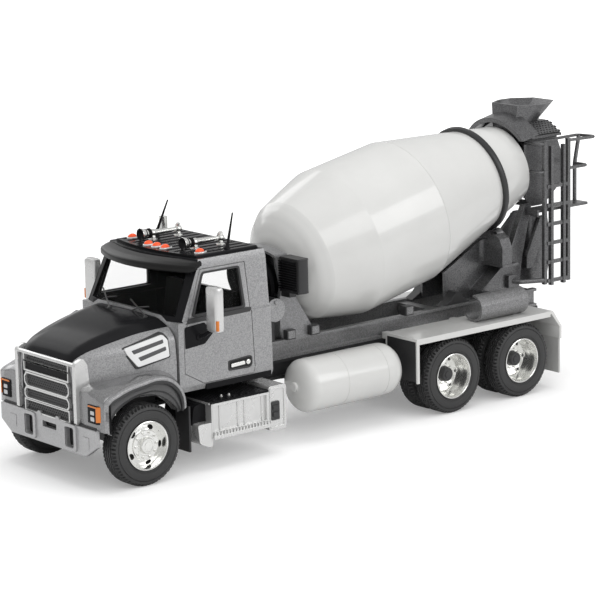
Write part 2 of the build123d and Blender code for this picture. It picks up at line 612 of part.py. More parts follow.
# ---- boxes and tanks along the chassis ------------------------------------------------------
box_out = wheel_out - 0.6
step_y0, step_y1 = front_y + 20.8, front_y + 39.3
box_top = frame_z - 3.4
with BuildPart() as step_box:
    block(rail_out, box_out, step_y0, step_y1, box_top - 9.0, box_top)
    block(box_out - 0.8, box_out, step_y0 + 1.2, step_y1 - 1.2, box_top - 7.2, box_top - 0.8,
          mode=Mode.SUBTRACT)
    block(box_out - 1.6, box_out + 0.7, step_y0, step_y1, box_top - 9.0, box_top - 7.6)
with BuildPart() as battery_box:
    block(rail_out, box_out, step_y0 - 1.0, step_y1, box_top, box_top + 0.6)
    side_plate([(step_y0 - 1.0, box_top), (step_y0 - 4.0, box_top - 0.4),
                (step_y0 - 4.6, box_top - 5.0),
                (step_y0 - 4.0, box_top - 10.0), (step_y0 - 1.0, box_top - 11.0),
                (step_y0, box_top - 11.0),
                (step_y0, box_top)], rail_out, box_out - 1.0)
with BuildPart() as side_locker:
    block(rail_out, box_out, step_y1, step_y1 + 6.0, box_top - 11.0, box_top + 1.3)
    fillet(side_locker.edges().filter_by(Axis.X).sort_by(Axis.Y)[-2:], 1.0)
    block(box_out - 0.9, box_out + 1, step_y1 + 0.9, step_y1 + 4.3, box_top - 8.6, box_top - 1.2,
          mode=Mode.SUBTRACT)

tank_r, tank_x, tank_z = 7.2, 16.6, tyre_r + 4.3
tank_y0, tank_y1 = front_y + 53.3, drive_y[0] - 15.9
dome = 4.8
with BuildPart() as side_tank:
    with BuildSketch(Plane(origin=(tank_x, 0, tank_z), x_dir=(0, 1, 0), z_dir=(1, 0, 0))):
        with BuildLine():
            l1 = Line((tank_y0, 0), (tank_y0, 2.0))
            l2 = ThreePointArc(l1 @ 1, (tank_y0 + 1.5, 5.2), (tank_y0 + dome, tank_r))
            l3 = Line(l2 @ 1, (tank_y1 - dome, tank_r))
            l4 = ThreePointArc(l3 @ 1, (tank_y1 - 1.5, 5.2), (tank_y1, 2.0))
            l5 = Line(l4 @ 1, (tank_y1, 0))
            Line(l5 @ 1, l1 @ 0)
        make_face()
    revolve(axis=Axis((tank_x, 0, tank_z), (0, 1, 0)))
    rod((tank_x, tank_y0 - 0.5, tank_z), (tank_x, tank_y0 + 0.5, tank_z), 1.3)

fuel_r, fuel_x = 5.6, -16.8
fuel_y0, fuel_y1 = front_y + 18.0, front_y + 36.0
with BuildPart() as fuel_tank:
    rod((fuel_x, fuel_y0, tank_z - 1.4), (fuel_x, fuel_y1, tank_z - 1.4), fuel_r)
    fillet(fuel_tank.edges(), 0.8)

with BuildPart() as tank_saddles:
    for y in (tank_y0 + 9.0, tank_y1 - 11.0):
        block(rail_out, tank_x - 4.6, y, y + 1.8, tyre_r + 5.3, frame_z - 0.6)
    for y in (fuel_y0 + 3.0, fuel_y1 - 4.8):
        block(fuel_x + 2.5, -rail_out, y, y + 1.8, tyre_r + 5.3, frame_z - 0.6)
    add(side_tank.part, mode=Mode.SUBTRACT)
    add(fuel_tank.part, mode=Mode.SUBTRACT)

# ---- rear fenders ---------------------------------------------------------------------------
fender_top = 2 * tyre_r + 2.0
fender_t = 0.8
rear_in, rear_out = 11.4, wheel_out + 0.2
fender_y0, fender_y1 = drive_y[0] - 13.9, drive_y[1] + 11.9
fender_line = [
    (fender_y0, fender_top - fender_t), (fender_y0, fender_top), (fender_y1, fender_top),
    (fender_y1 + 3.4, fender_top - 4.8), (fender_y1 + 3.4, fender_top - 8.4),
    (fender_y1 + 2.6, fender_top - 8.4),
    (fender_y1 + 2.6, fender_top - 4.9), (fender_y1 - 0.6, fender_top - fender_t),
]
with BuildPart() as rear_fenders:
    side_plate(fender_line, rear_in, rear_out)
    block(rear_out - 0.6, rear_out, fender_y0, fender_y1 - 1.0, fender_top - 1.6, fender_top - fender_t)
    for x in (rear_in, rear_out - 0.6):
        block(x, x + 0.6, fender_y0, fender_y0 + 0.9, fender_top - 12.4, fender_top - fender_t)
    for y in (fender_y0 + 1.0, tandem_y - 1.0, fender_y1 - 3.0):
        block(rail_out, rear_in, y, y + 2.0, frame_z, fender_top - 0.4)
    both_sides()
with BuildPart() as mud_flaps:
    block(17.6, 23.2, front_y + 13.5, front_y + 14.1, rail_z - 9.6, rail_z + 2.4)
    block(rail_out, 17.6, front_y + 13.5, front_y + 14.1, rail_z + 1.6, rail_z + 2.4)
    block(rear_in + 0.6, rear_out - 0.6, fender_y0, fender_y0 + 0.6, fender_top - 12.0,
          fender_top - fender_t)
    block(14.7, rear_out - 0.6, fender_y1 + 2.8, fender_y1 + 3.4, fender_top - 18.6,
          fender_top - 8.4)
    both_sides()

pipe_r, pipe_x = 3.8, 18.6
pipe_y0, pipe_y1 = tandem_y - 0.9, tandem_y + 17.2
with BuildPart() as stored_chute:
    pipe_z = fender_top + pipe_r
    with BuildSketch(Plane.XZ.offset(-pipe_y0)) as shell:
        with Locations((pipe_x, pipe_z)):
            Circle(pipe_r)
            Circle(pipe_r - 0.6, mode=Mode.SUBTRACT)
        with BuildLine():
            Polyline((pipe_x, pipe_z), (pipe_x, pipe_z + 9), (pipe_x - 9, pipe_z + 9),
                     (pipe_x - 9, pipe_z - 6.0),
                     close=True)
        make_face(mode=Mode.SUBTRACT)
    extrude(shell.sketch, amount=-(pipe_y1 - pipe_y0))
    for y in (pipe_y0 + 2.0, pipe_y1 - 3.6):
        block(pipe_x - 1.2, pipe_x + 1.2, y, y + 1.6, fender_top, fender_top + 0.5)

# ---- mixer: rails, front pedestal, drive ------------------------------------------------------
sub_y0, sub_y1 = front_y + 47.0, drive_y[1] + 20.6
post_y, post_r = sub_y1 - 1.6, 1.6       # chute swivel post
yoke_z = sub_z + 5.0
with BuildPart() as mixer_subframe:
    block(rail_x, rail_out, sub_y0, sub_y1, frame_z, sub_z)
    block(rail_x + 0.6, rail_out + 0.01, sub_y0 - 0.01, sub_y1 + 0.01, frame_z + 0.8, sub_z - 0.8,
          mode=Mode.SUBTRACT)
    both_sides()
    for y in (sub_y0, sub_y0 + 17.0, tandem_y - 6.0, sub_y1 - 3.2):
        block(-rail_x, rail_x, y, y + 3.2, frame_z, sub_z - 0.6)
    rod((0, post_y, sub_z - 0.8), (0, post_y, yoke_z + 4.4), post_r)
    rod((0, post_y, sub_z - 0.8), (0, post_y, yoke_z - 0.1), 2.4)

ped_x, ped_t = 8.4, 0.8
front_ped = [
    (front_y + 56.4, sub_z), (front_y + 64.8, sub_z), (front_y + 66.0, sub_z + 2.7),
    (front_y + 59.6, sub_z + 12.6),
    (front_y + 58.6, sub_z + 20.0), (front_y + 57.4, sub_z + 23.6), (front_y + 53.8, sub_z + 23.6),
    (front_y + 54.4, sub_z + 19.6), (front_y + 55.6, sub_z + 15.0), (front_y + 55.2, sub_z + 11.8),
    (front_y + 55.2, sub_z + 2.7),
]
with BuildPart() as front_pedestal:
    side_plate(front_ped, ped_x, ped_x + ped_t)
    both_sides()
    block(-ped_x, ped_x, front_y + 55.2, front_y + 59.8, sub_z + 6.0, sub_z + 6.8)
    block(-ped_x, ped_x, front_y + 57.6, front_y + 58.4, sub_z, sub_z + 6.0)
    with BuildSketch(Plane.XZ.offset(-(front_y + 53.4))) as cap:
        with BuildLine():
            top = ThreePointArc((-9.6, sub_z + 23.4), (0, sub_z + 24.6), (9.6, sub_z + 23.4))
            low = ThreePointArc((9.6, sub_z + 22.8), (0, sub_z + 24.0), (-9.6, sub_z + 22.8))
            Line(top @ 1, low @ 0)
            Line(low @ 1, top @ 0)
        make_face()
    extrude(cap.sketch, amount=-4.2)

with BuildPart() as drum_drive:
    for s0, s1, r in ((-8.4, -0.6, 5.0), (-8.0, -7.0, 7.8), (-5.6, -4.4, 7.8), (-2.0, -0.6, 6.6)):
        rod(on_axis(s0), on_axis(s1), r)
    block(-4.5, 4.5, front_y + 55.4, front_y + 59.0, sub_z + 6.8, drum_z - 4.0)
    rod(on_axis(-6.0), on_axis(0), shaft_r + running_gap, mode=Mode.SUBTRACT)

res_y, res_z, res_r = front_y + 51.9, sub_z + 9.2, 3.2
with BuildPart() as oil_reservoir:
    rod((rail_x + 0.8, res_y, res_z), (11.6, res_y, res_z), res_r)
    rod((11.6, res_y, res_z + 2.2), (12.1, res_y, res_z + 2.2), 0.6)
    block(rail_x, rail_out, res_y - 1.6, res_y + 1.6, sub_z, res_z - 1.0)

with BuildPart() as oil_cooler:
    block(ped_x + ped_t + 0.3, 16.9, front_y + 55.6, front_y + 58.6, drum_z - 2.8, drum_z + 6.0)
    block(ped_x + ped_t, 12.6, front_y + 55.8, front_y + 58.2, drum_z - 4.6, drum_z - 2.8)

# ---- drum -----------------------------------------------------------------------------------
drum_line = [(1.2, 0), (1.5, 5.5), (4.0, 12.0), (9.0, 16.74), (23.4, 20.98),
             (drum_len - rear_cone, 20.74),
             (drum_len, 11.6)]
ring_r = 15.8


def drum_solid(inset, extra=0.0, mode=Mode.ADD):
    """The solid of revolution inside the drum's skin, drawn in by inset and run on past the mouth."""
    pts = [(max(r - inset, 0), s + (inset if i < 3 else 0)) for i, (s, r) in enumerate(drum_line)]
    end = pts[6][1] + extra
    with BuildSketch(Plane(origin=on_axis(0), x_dir=(1, 0, 0),
                           z_dir=(0, -drum_dir.Z, drum_dir.Y))) as half:
        with BuildLine():
            head = ThreePointArc(pts[1], pts[2], pts[3])
            run_on = [(pts[6][0], end)] if extra else []
            Polyline(head @ 1, pts[4], pts[5], pts[6], *run_on, (0, end), (0, pts[0][1]), head @ 0)
        make_face()
    revolve(half.sketch, axis=Axis(on_axis(0), drum_dir), mode=mode)


with BuildPart() as drum:
    drum_solid(0, 0)
    drum_solid(drum_wall, 1.0, mode=Mode.SUBTRACT)
    rod(on_axis(-5.6), on_axis(2.4), shaft_r)
    rod(on_axis(0.3), on_axis(2.2), 4.2)
    rod(on_axis(drum_len - 1.6), on_axis(drum_len), 12.3)
    rod(on_axis(drum_len - 1.7), on_axis(drum_len + 0.1), 11.6 - drum_wall, mode=Mode.SUBTRACT)
with BuildPart() as drum_core:
    drum_solid(0, 0)
with BuildPart() as drum_track_ring:
    rod(on_axis(ring_s - 1.2), on_axis(ring_s + 1.2), ring_r)
    add(drum_core.part, mode=Mode.SUBTRACT)

# ---- rear structure ---------------------------------------------------------------------------


def aft(y, z):
    """A point of the rear structure, measured from the middle of the drum's mouth."""
    return (mouth_y + y, mouth_z + z)


roller_angle, roller_r = radians(28), 1.8
roller_out = ring_r + running_gap + roller_r
roller_x, roller_up = roller_out * sin(roller_angle), -roller_out * cos(roller_angle)
roller_y, roller_z = on_axis(ring_s, roller_up)[1:]
knee_y = roller_y + 2.57             # bend of the struts, just behind the rollers
foot_y = knee_y - 9.9                # front foot of the struts
strut_line = [
    (foot_y, sub_z), (foot_y, sub_z + 2.6), (knee_y, sub_z + 9.9), aft(0.2, -10.5),
    aft(3.6, -10.5), (knee_y + 6.7, sub_z + 9.9), (knee_y + 5.2, sub_z),
]
web_line = [
    (foot_y, sub_z), (foot_y, sub_z + 2.6), (knee_y, sub_z + 9.9), (knee_y + 0.8, sub_z + 9.1),
    (foot_y + 0.8, sub_z + 1.9), (foot_y + 0.8, sub_z),
]
flange_line = [
    (foot_y, sub_z + 2.6), (knee_y, sub_z + 9.9), aft(0.2, -10.5), aft(0.8, -10.9),
    (knee_y + 0.6, sub_z + 9.5), (foot_y + 0.5, sub_z + 2.0),
]
# inner web, close under the drum
inner_web = [
    (knee_y - 20.0, sub_z), (knee_y - 20.0, sub_z + 8.8), (roller_y - 3.0, sub_z + 16.4),
    (roller_y + 3.0, sub_z + 16.4), aft(0.6, -13.0), aft(4.0, -13.0), (knee_y + 5.2, sub_z),
]
web_x, web_t = 4.2, 0.8
strut_x, strut_t = 8.2, 0.8
guard_y0, guard_y1 = roller_y - 3.13, roller_y + 0.67
guard_z = sub_z + 10.0
guard_out = 13.8
with BuildPart() as rear_pedestal:
    side_plate(strut_line, strut_x, strut_x + strut_t)
    side_plate(flange_line, strut_x - 0.6, strut_x + strut_t + 0.6)
    block(0, guard_out, guard_y0, knee_y + 0.6, guard_z - 0.8, guard_z)
    side_plate(web_line, 0, strut_x)
    side_plate(inner_web, web_x, web_x + web_t)
    both_sides()


def beside(s, up, x):
    """A point of the roller's axis line at station s."""
    p = on_axis(s, up)
    return (x, p[1], p[2])


with BuildPart() as drum_rollers:
    rod(beside(ring_s - 1.1, roller_up, roller_x), beside(ring_s + 1.1, roller_up, roller_x), roller_r)
    rod(beside(ring_s - 2.0, roller_up, roller_x), beside(ring_s + 2.0, roller_up, roller_x), 0.6)
    for y in (roller_y - 2.2, roller_y + 1.6):
        block(roller_x - 0.9, roller_x + 0.9, y, y + 0.6, guard_z, roller_z + 0.6)
    both_sides()

guard_line = [(6.2, guard_z), (6.2, guard_z + 5.3), (8.0, guard_z + 7.6), (10.6, guard_z + 8.6),
              (guard_out - 1.2, guard_z + 7.4), (guard_out, guard_z + 4.8), (guard_out, guard_z)]
guard_inside = [(5.0, guard_z), (5.0, guard_z + 10.0), (10.2, guard_z + 10.0), (10.2, guard_z + 7.9),
                (guard_out - 1.6, guard_z + 6.9), (guard_out - 0.7, guard_z + 4.6),
                (guard_out - 0.7, guard_z)]
with BuildPart() as roller_guards:
    front_plate(guard_line, guard_y0, guard_y1)
    front_plate(guard_inside, guard_y0 + 0.6, guard_y1 + 0.1, mode=Mode.SUBTRACT)
    both_sides()

# charge hopper over the mouth, and the shroud that carries it
rim_plan = [(-5.3, 1.6), (5.3, 1.6), (8.2, 7.0), (8.2, 12.0), (4.2, 17.4), (-4.2, 17.4), (-8.2, 12.0),
            (-8.2, 7.0)]
throat_plan = [(-4.4, 1.2), (4.4, 1.2), (4.6, 2.8), (4.6, 6.0), (3.6, 7.8), (-3.6, 7.8), (-4.6, 6.0),
               (-4.6, 2.8)]
hopper_t = 0.6


def hopper_section(plan, z, inset):
    """The hopper's outline at a height above the mouth, drawn in by inset."""
    with BuildSketch(Plane.XY.offset(mouth_z + z)) as face:
        with BuildLine():
            Polyline(*[(x, mouth_y + y) for x, y in plan], close=True)
        make_face()
        if inset:
            offset(amount=-inset, kind=Kind.INTERSECTION, mode=Mode.REPLACE)
    return face.sketch


hopper_top, throat_z = 17.4, 9.6
with BuildPart() as charge_hopper:
    loft([hopper_section(throat_plan, throat_z, 0), hopper_section(rim_plan, hopper_top, 0)],
         ruled=True)
    extrude(hopper_section(throat_plan, throat_z - 5.6, 0), amount=5.6)
    loft([hopper_section(throat_plan, throat_z, hopper_t),
          hopper_section(rim_plan, hopper_top + 0.01, hopper_t)],
         ruled=True, mode=Mode.SUBTRACT)
    extrude(hopper_section(throat_plan, throat_z - 5.7, hopper_t), amount=5.8, mode=Mode.SUBTRACT)

shroud_s0, shroud_s1, shroud_r = drum_len - 0.6, drum_len + 5.8, 14.4
shroud_t = 1.4
shroud_low = 8.4          # the shroud stops this far above the axis
wing_line = [(4.4, mouth_z + 11.6), (4.4, mouth_z + 12.2), (6.0, mouth_z + 12.0), (11.2, mouth_z + 8.9),
             (11.2, mouth_z + 8.3), (6.0, mouth_z + 11.4)]
cut_size = 60
with BuildPart(Plane(origin=on_axis(drum_len), z_dir=drum_dir, x_dir=(1, 0, 0))) as lower_half:
    with Locations((0, cut_size / 2 - shroud_low, 0)):
        Box(cut_size, cut_size, cut_size)
with BuildPart() as mouth_shroud:
    rod(on_axis(shroud_s0), on_axis(shroud_s1), shroud_r)
    rod(on_axis(shroud_s0 - 1), on_axis(shroud_s1 + 1), shroud_r - shroud_t, mode=Mode.SUBTRACT)
    add(lower_half.part, mode=Mode.SUBTRACT)
    front_plate(wing_line, mouth_y + 1.6, mouth_y + 13.4)
    front_plate([(-x, z) for x, z in wing_line], mouth_y + 1.6, mouth_y + 13.4)
    block(-4.4, 4.4, mouth_y + 8.2, mouth_y + 13.4, mouth_z + 11.6, mouth_z + 12.2)
    loft([hopper_section(throat_plan, throat_z, 0), hopper_section(rim_plan, hopper_top, 0)],
         ruled=True,
         mode=Mode.SUBTRACT)
    extrude(hopper_section(throat_plan, throat_z - 5.7, 0), amount=5.7, mode=Mode.SUBTRACT)

collect_x = 8.0
lean = tan(radians(drum_tilt))           # the mouth's run aft for each unit down
collect_front, collect_low = 9.2 * lean + 0.17, 11.8 * lean + 0.8
collect_line = [aft(collect_front, 8.6), aft(14.3, 8.6), aft(18.6, -1.6), aft(16.8, -5.8),
                aft(11.6, -10.2),
                aft(8.4, -11.8), aft(collect_low, -11.8), aft(collect_front, -9.2)]
collect_in = [aft(1.0, 9.6), aft(13.6, 9.6), aft(17.8, -1.6), aft(16.2, -5.4), aft(11.3, -9.5),
              aft(8.2, -12.8),
              aft(collect_low + 0.5, -12.8), aft(collect_low, -10.0), aft(1.0, -9.0)]
with BuildPart() as collector:
    side_plate(collect_line, -collect_x, collect_x)
    side_plate(collect_in, -collect_x + 0.7, collect_x - 0.7, mode=Mode.SUBTRACT)

deck_z = mouth_z - 11.7
deck_x0, deck_x1 = strut_x + strut_t, 14.2
deck_y0, deck_y1 = mouth_y + 0.8, mouth_y + 21.2
bar = 1.1
front_post_y, rear_post_y = mouth_y + 3.0, mouth_y + 12.4
ladder_foot, rail_top = sub_z + 2.4, mouth_z + 7.9
with BuildPart() as rear_platform:
    block(deck_x0, deck_x1, deck_y0, deck_y1, deck_z - 0.8, deck_z)
    block(deck_x0, deck_x1, deck_y0, deck_y0 + 0.6, deck_z - 2.0, deck_z)

tube = 0.5
rail_z1, rail_z2 = mouth_z - 0.8, rail_top - 0.65     # middle and top rails
post_x = deck_x1 + bar / 2
with BuildPart() as platform_rails:
    for y in (front_post_y - bar / 2, rear_post_y - bar / 2):
        block(deck_x1, deck_x1 + bar, y, y + bar, ladder_foot, rail_top)
    # loop in front of the ladder, up and over
    face_y = front_post_y - bar / 2
    pipe([(post_x, face_y, rail_z2), (post_x, deck_y0 + 0.1, rail_z2),
          (strut_x + 0.6, deck_y0 + 0.1, rail_z2),
          (strut_x + 0.6, deck_y0 + 0.1, rail_z1), (post_x, deck_y0 + 0.1, rail_z1),
          (post_x, face_y, rail_z1)],
         tube, 0.9)
    # top rail round the rear end
    face_y = rear_post_y + bar / 2
    pipe([(post_x, face_y, rail_z2), (post_x + 0.9, mouth_y + 23.3, rail_z2),
          (9.2, mouth_y + 21.8, rail_z2),
          (10.8, deck_y0 + 0.3, rail_z2)], tube - 0.06, 1.4)
    # middle rail round the rear end
    pipe([(post_x, face_y, rail_z1), (post_x, deck_y1 - 0.6, rail_z1), (9.7, deck_y1 - 1.1, rail_z1)],
         tube - 0.06, 1.4)
    # rear post
    pipe([(9.7, deck_y1 - 0.9, deck_z), (9.7, deck_y1 - 0.9, rail_z1),
          (10.0, mouth_y + 21.7, rail_z2)], 0.6, 3.0)
    # stay from the strut to the foot of the front post
    block(strut_x + strut_t, strut_x + strut_t + 1.2, knee_y + 0.2, knee_y + 3.2, sub_z + 2.0,
          sub_z + 5.6)
    pipe([(strut_x + strut_t + 0.6, knee_y + 1.8, sub_z + 3.8), (11.6, knee_y + 3.6, ladder_foot + 1.2),
          (post_x, front_post_y - 0.1, ladder_foot + 1.2)], 0.7, 2.0)

stile_x = 14.6
with BuildPart() as ladder:
    for y in (front_post_y + 1.7, rear_post_y - 2.8):
        block(stile_x, stile_x + 1.2, y, y + 1.0, ladder_foot - 0.4, rail_top - 1.4)
    for k in range(6):
        z = ladder_foot + 0.9 + 5.48 * k
        block(stile_x + 0.2, stile_x + 1.0, front_post_y + bar / 2, rear_post_y - bar / 2, z - 0.5,
              z + 0.5)

# ---- chute swivel and main chute ----------------------------------------------------------------
pin_y, pin_z, pin_r = post_y + 7.2, sub_z + 18.5, 0.8
chute_half = 5.0
yoke_x0, yoke_x1 = chute_half + 0.15, chute_half + 1.15
yoke_side = [
    (post_y + 0.4, yoke_z + 0.6), (post_y + 2.6, yoke_z + 0.6), (pin_y + 1.4, pin_z - 1.2),
    (pin_y + 1.4, pin_z + 1.3),
    (pin_y - 1.4, pin_z + 1.3), (post_y + 0.4, yoke_z + 4.2),
]
with BuildPart() as chute_swivel:
    rod((0, post_y, yoke_z), (0, post_y, yoke_z + 4.0), 2.6)
    block(-yoke_x1, yoke_x1, post_y + 0.4, post_y + 2.6, yoke_z + 0.6, yoke_z + 3.4)
    for x in (yoke_x0, -yoke_x1):
        side_plate(yoke_side, x, x + 1.0)
    rod((0, post_y, yoke_z - 1), (0, post_y, yoke_z + 5.0), post_r + running_gap, mode=Mode.SUBTRACT)
    rod((-yoke_x1 - 1, pin_y, pin_z), (yoke_x1 + 1, pin_y, pin_z), pin_r + running_gap,
        mode=Mode.SUBTRACT)

chute_rows = [(pin_z + 1.6, 5.0, pin_y + 0.6, 2.0), (sub_z + 10.0, 4.7, pin_y + 1.0, 4.0),
              (sub_z, 3.9, pin_y + 0.8, 2.2)]


def chute_section(z, r, y, deep, inset):
    """The chute's U outline at a height: half circle forward, straight sides aft."""
    r = r - inset
    end = y + deep + (3 if inset else 0)
    with BuildSketch(Plane.XY.offset(z)) as face:
        with BuildLine():
            bend = ThreePointArc((-r, y), (0, y - r), (r, y))
            Polyline(bend @ 1, (r, end), (-r, end), bend @ 0)
        make_face()
    return face.sketch


with BuildPart() as main_chute:
    loft([chute_section(*row, 0) for row in chute_rows], ruled=True)
    loft([chute_section(z + dz, r, y, deep, 0.7) for (z, r, y, deep),
          dz in zip(chute_rows, (0.01, 0, -0.01))],
         ruled=True, mode=Mode.SUBTRACT)
    for x0, x1 in ((chute_half - 0.7, yoke_x1), (-yoke_x1, -chute_half + 0.7)):
        rod((x0, pin_y, pin_z), (x1, pin_y, pin_z), pin_r)

with BuildPart() as tail_lamps:
    block(rail_x - 1.0, 13.0, frame_rear, frame_rear + 0.6, rail_z + 0.4, rail_z + 2.8)
    block(9.4, 12.6, frame_rear + 0.6, frame_rear + 1.2, rail_z + 0.8, rail_z + 2.4)
    both_sides()

# ---- every piece under its own name ---------------------------------------------------------------
pieces = {
    "chassis_frame": chassis_frame, "tank_saddles": tank_saddles, "front_axle_beam": front_axle_beam,
    "rear_suspension": rear_suspension, "engine_block": engine_block, "front_bumper": front_bumper,
    "cab_shell": cab_shell, "left_door": left_door, "right_door": right_door, "cab_roof": cab_roof,
    "windshield": windshield, "cab_windows": cab_windows, "seats": seats, "dashboard": dashboard,
    "steering_wheel": steering_wheel, "sun_visor": sun_visor, "mirrors": mirrors,
    "air_horns": air_horns,
    "roof_lights": roof_lights, "antennas": antennas, "exhaust_stack": exhaust_stack,
    "step_box": step_box, "battery_box": battery_box, "side_locker": side_locker,
    "side_tank": side_tank,
    "fuel_tank": fuel_tank, "rear_fenders": rear_fenders, "mud_flaps": mud_flaps,
    "stored_chute": stored_chute, "tail_lamps": tail_lamps, "mixer_subframe": mixer_subframe,
    "front_pedestal": front_pedestal, "drum_drive": drum_drive, "oil_reservoir": oil_reservoir,
    "oil_cooler": oil_cooler, "rear_pedestal": rear_pedestal, "drum_rollers": drum_rollers,
    "roller_guards": roller_guards, "charge_hopper": charge_hopper, "mouth_shroud": mouth_shroud,
    "collector": collector, "rear_platform": rear_platform, "platform_rails": platform_rails,
    "ladder": ladder,
    "hood": hood, "fender_flares": fender_flares, "headlamps": headlamps,
    "grille_surround": grille_surround, "grille_mesh": grille_mesh,
    "front_wheels": front_wheels, "left_front_tyre": left_front_tyre,
    "right_front_tyre": right_front_tyre,
    "drive_1_wheels": drive_wheels[0], "drive_1_tyres": drive_tyres[0],
    "drive_2_wheels": drive_wheels[1], "drive_2_tyres": drive_tyres[1],
    "drum": drum, "drum_track_ring": drum_track_ring,
    "chute_swivel": chute_swivel, "main_chute": main_chute,
}
for name, piece in pieces.items():
    piece.part.label = name
    export_step(piece.part, f"parts/{name}.step")
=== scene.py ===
"""Looks of a 1:50 scale model concrete mixer truck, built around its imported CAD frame."""

import json
import logging
import math
from collections.abc import Callable, Sequence
from dataclasses import dataclass, field
from enum import Enum
from typing import ClassVar

import bmesh
import bpy
import numpy as np
from mathutils import Matrix, Vector

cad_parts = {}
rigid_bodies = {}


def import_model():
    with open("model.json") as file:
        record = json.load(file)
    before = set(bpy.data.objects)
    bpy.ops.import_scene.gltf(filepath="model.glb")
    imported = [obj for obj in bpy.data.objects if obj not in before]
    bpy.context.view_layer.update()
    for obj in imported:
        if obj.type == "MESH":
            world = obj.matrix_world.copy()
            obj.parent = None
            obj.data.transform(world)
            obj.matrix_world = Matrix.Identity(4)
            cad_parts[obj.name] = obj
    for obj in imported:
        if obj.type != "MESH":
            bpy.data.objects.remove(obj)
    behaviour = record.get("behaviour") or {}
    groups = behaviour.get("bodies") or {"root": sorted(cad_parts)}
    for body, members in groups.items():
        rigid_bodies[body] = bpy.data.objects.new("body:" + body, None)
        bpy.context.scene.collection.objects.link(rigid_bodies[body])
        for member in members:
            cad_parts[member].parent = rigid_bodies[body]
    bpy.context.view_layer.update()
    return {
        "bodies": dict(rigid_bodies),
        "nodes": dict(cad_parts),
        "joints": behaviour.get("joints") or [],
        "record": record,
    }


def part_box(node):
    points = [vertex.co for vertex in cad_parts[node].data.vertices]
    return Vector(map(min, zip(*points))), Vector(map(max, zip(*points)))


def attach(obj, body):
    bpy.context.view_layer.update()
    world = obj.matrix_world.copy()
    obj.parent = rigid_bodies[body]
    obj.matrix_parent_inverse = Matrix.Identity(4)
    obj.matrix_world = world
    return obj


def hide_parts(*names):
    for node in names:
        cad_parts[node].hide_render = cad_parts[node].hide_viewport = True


log = logging.getLogger("mixer_truck")
MM = 0.001
TYRE_R = 10.5          # rolling radius, and height of every axle, in mm
WHEEL_OUT = 24.1       # outer face of the tyres
EAVE = 54.3            # edge of the roof panel
ROOF = 54.9            # crown of the roof panel
AXLES = (104.3, 130.4)  # drive axles behind the front axle
MERGE = 2e-6           # points nearer than this, in metres, are made one
RELIEF_MM = 0.05       # full height of a finish's fine structure
PATCH_MM = 9.0         # size of the slow patches of tone
SMEAR_MM = 4.0         # size of the patches of roughness


class Datum:
    """The front axle's place in the frame, from which every size here is measured, in mm."""

    def __init__(self) -> None:
        """Read the front axle from the front tyre's box."""
        low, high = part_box("left_front_tyre")
        self.axle_y = (low.y + high.y) / 2 / MM

    def place(self, points: np.ndarray) -> np.ndarray:
        """Turn mm from the axle into metres in the frame.

        Args:
            points: Array of points, in mm from the axle.

        Returns:
            The same points in metres.
        """
        return (np.asarray(points, float) + (0.0, self.axle_y, 0.0)) * MM


# ---- finishes ---------------------------------------------------------------------------------


class Grain(Enum):
    """How a finish's surface is broken up."""

    SMOOTH = "smooth"
    MOULDED = "moulded"
    FLAKE = "flake"
    CAST = "cast"


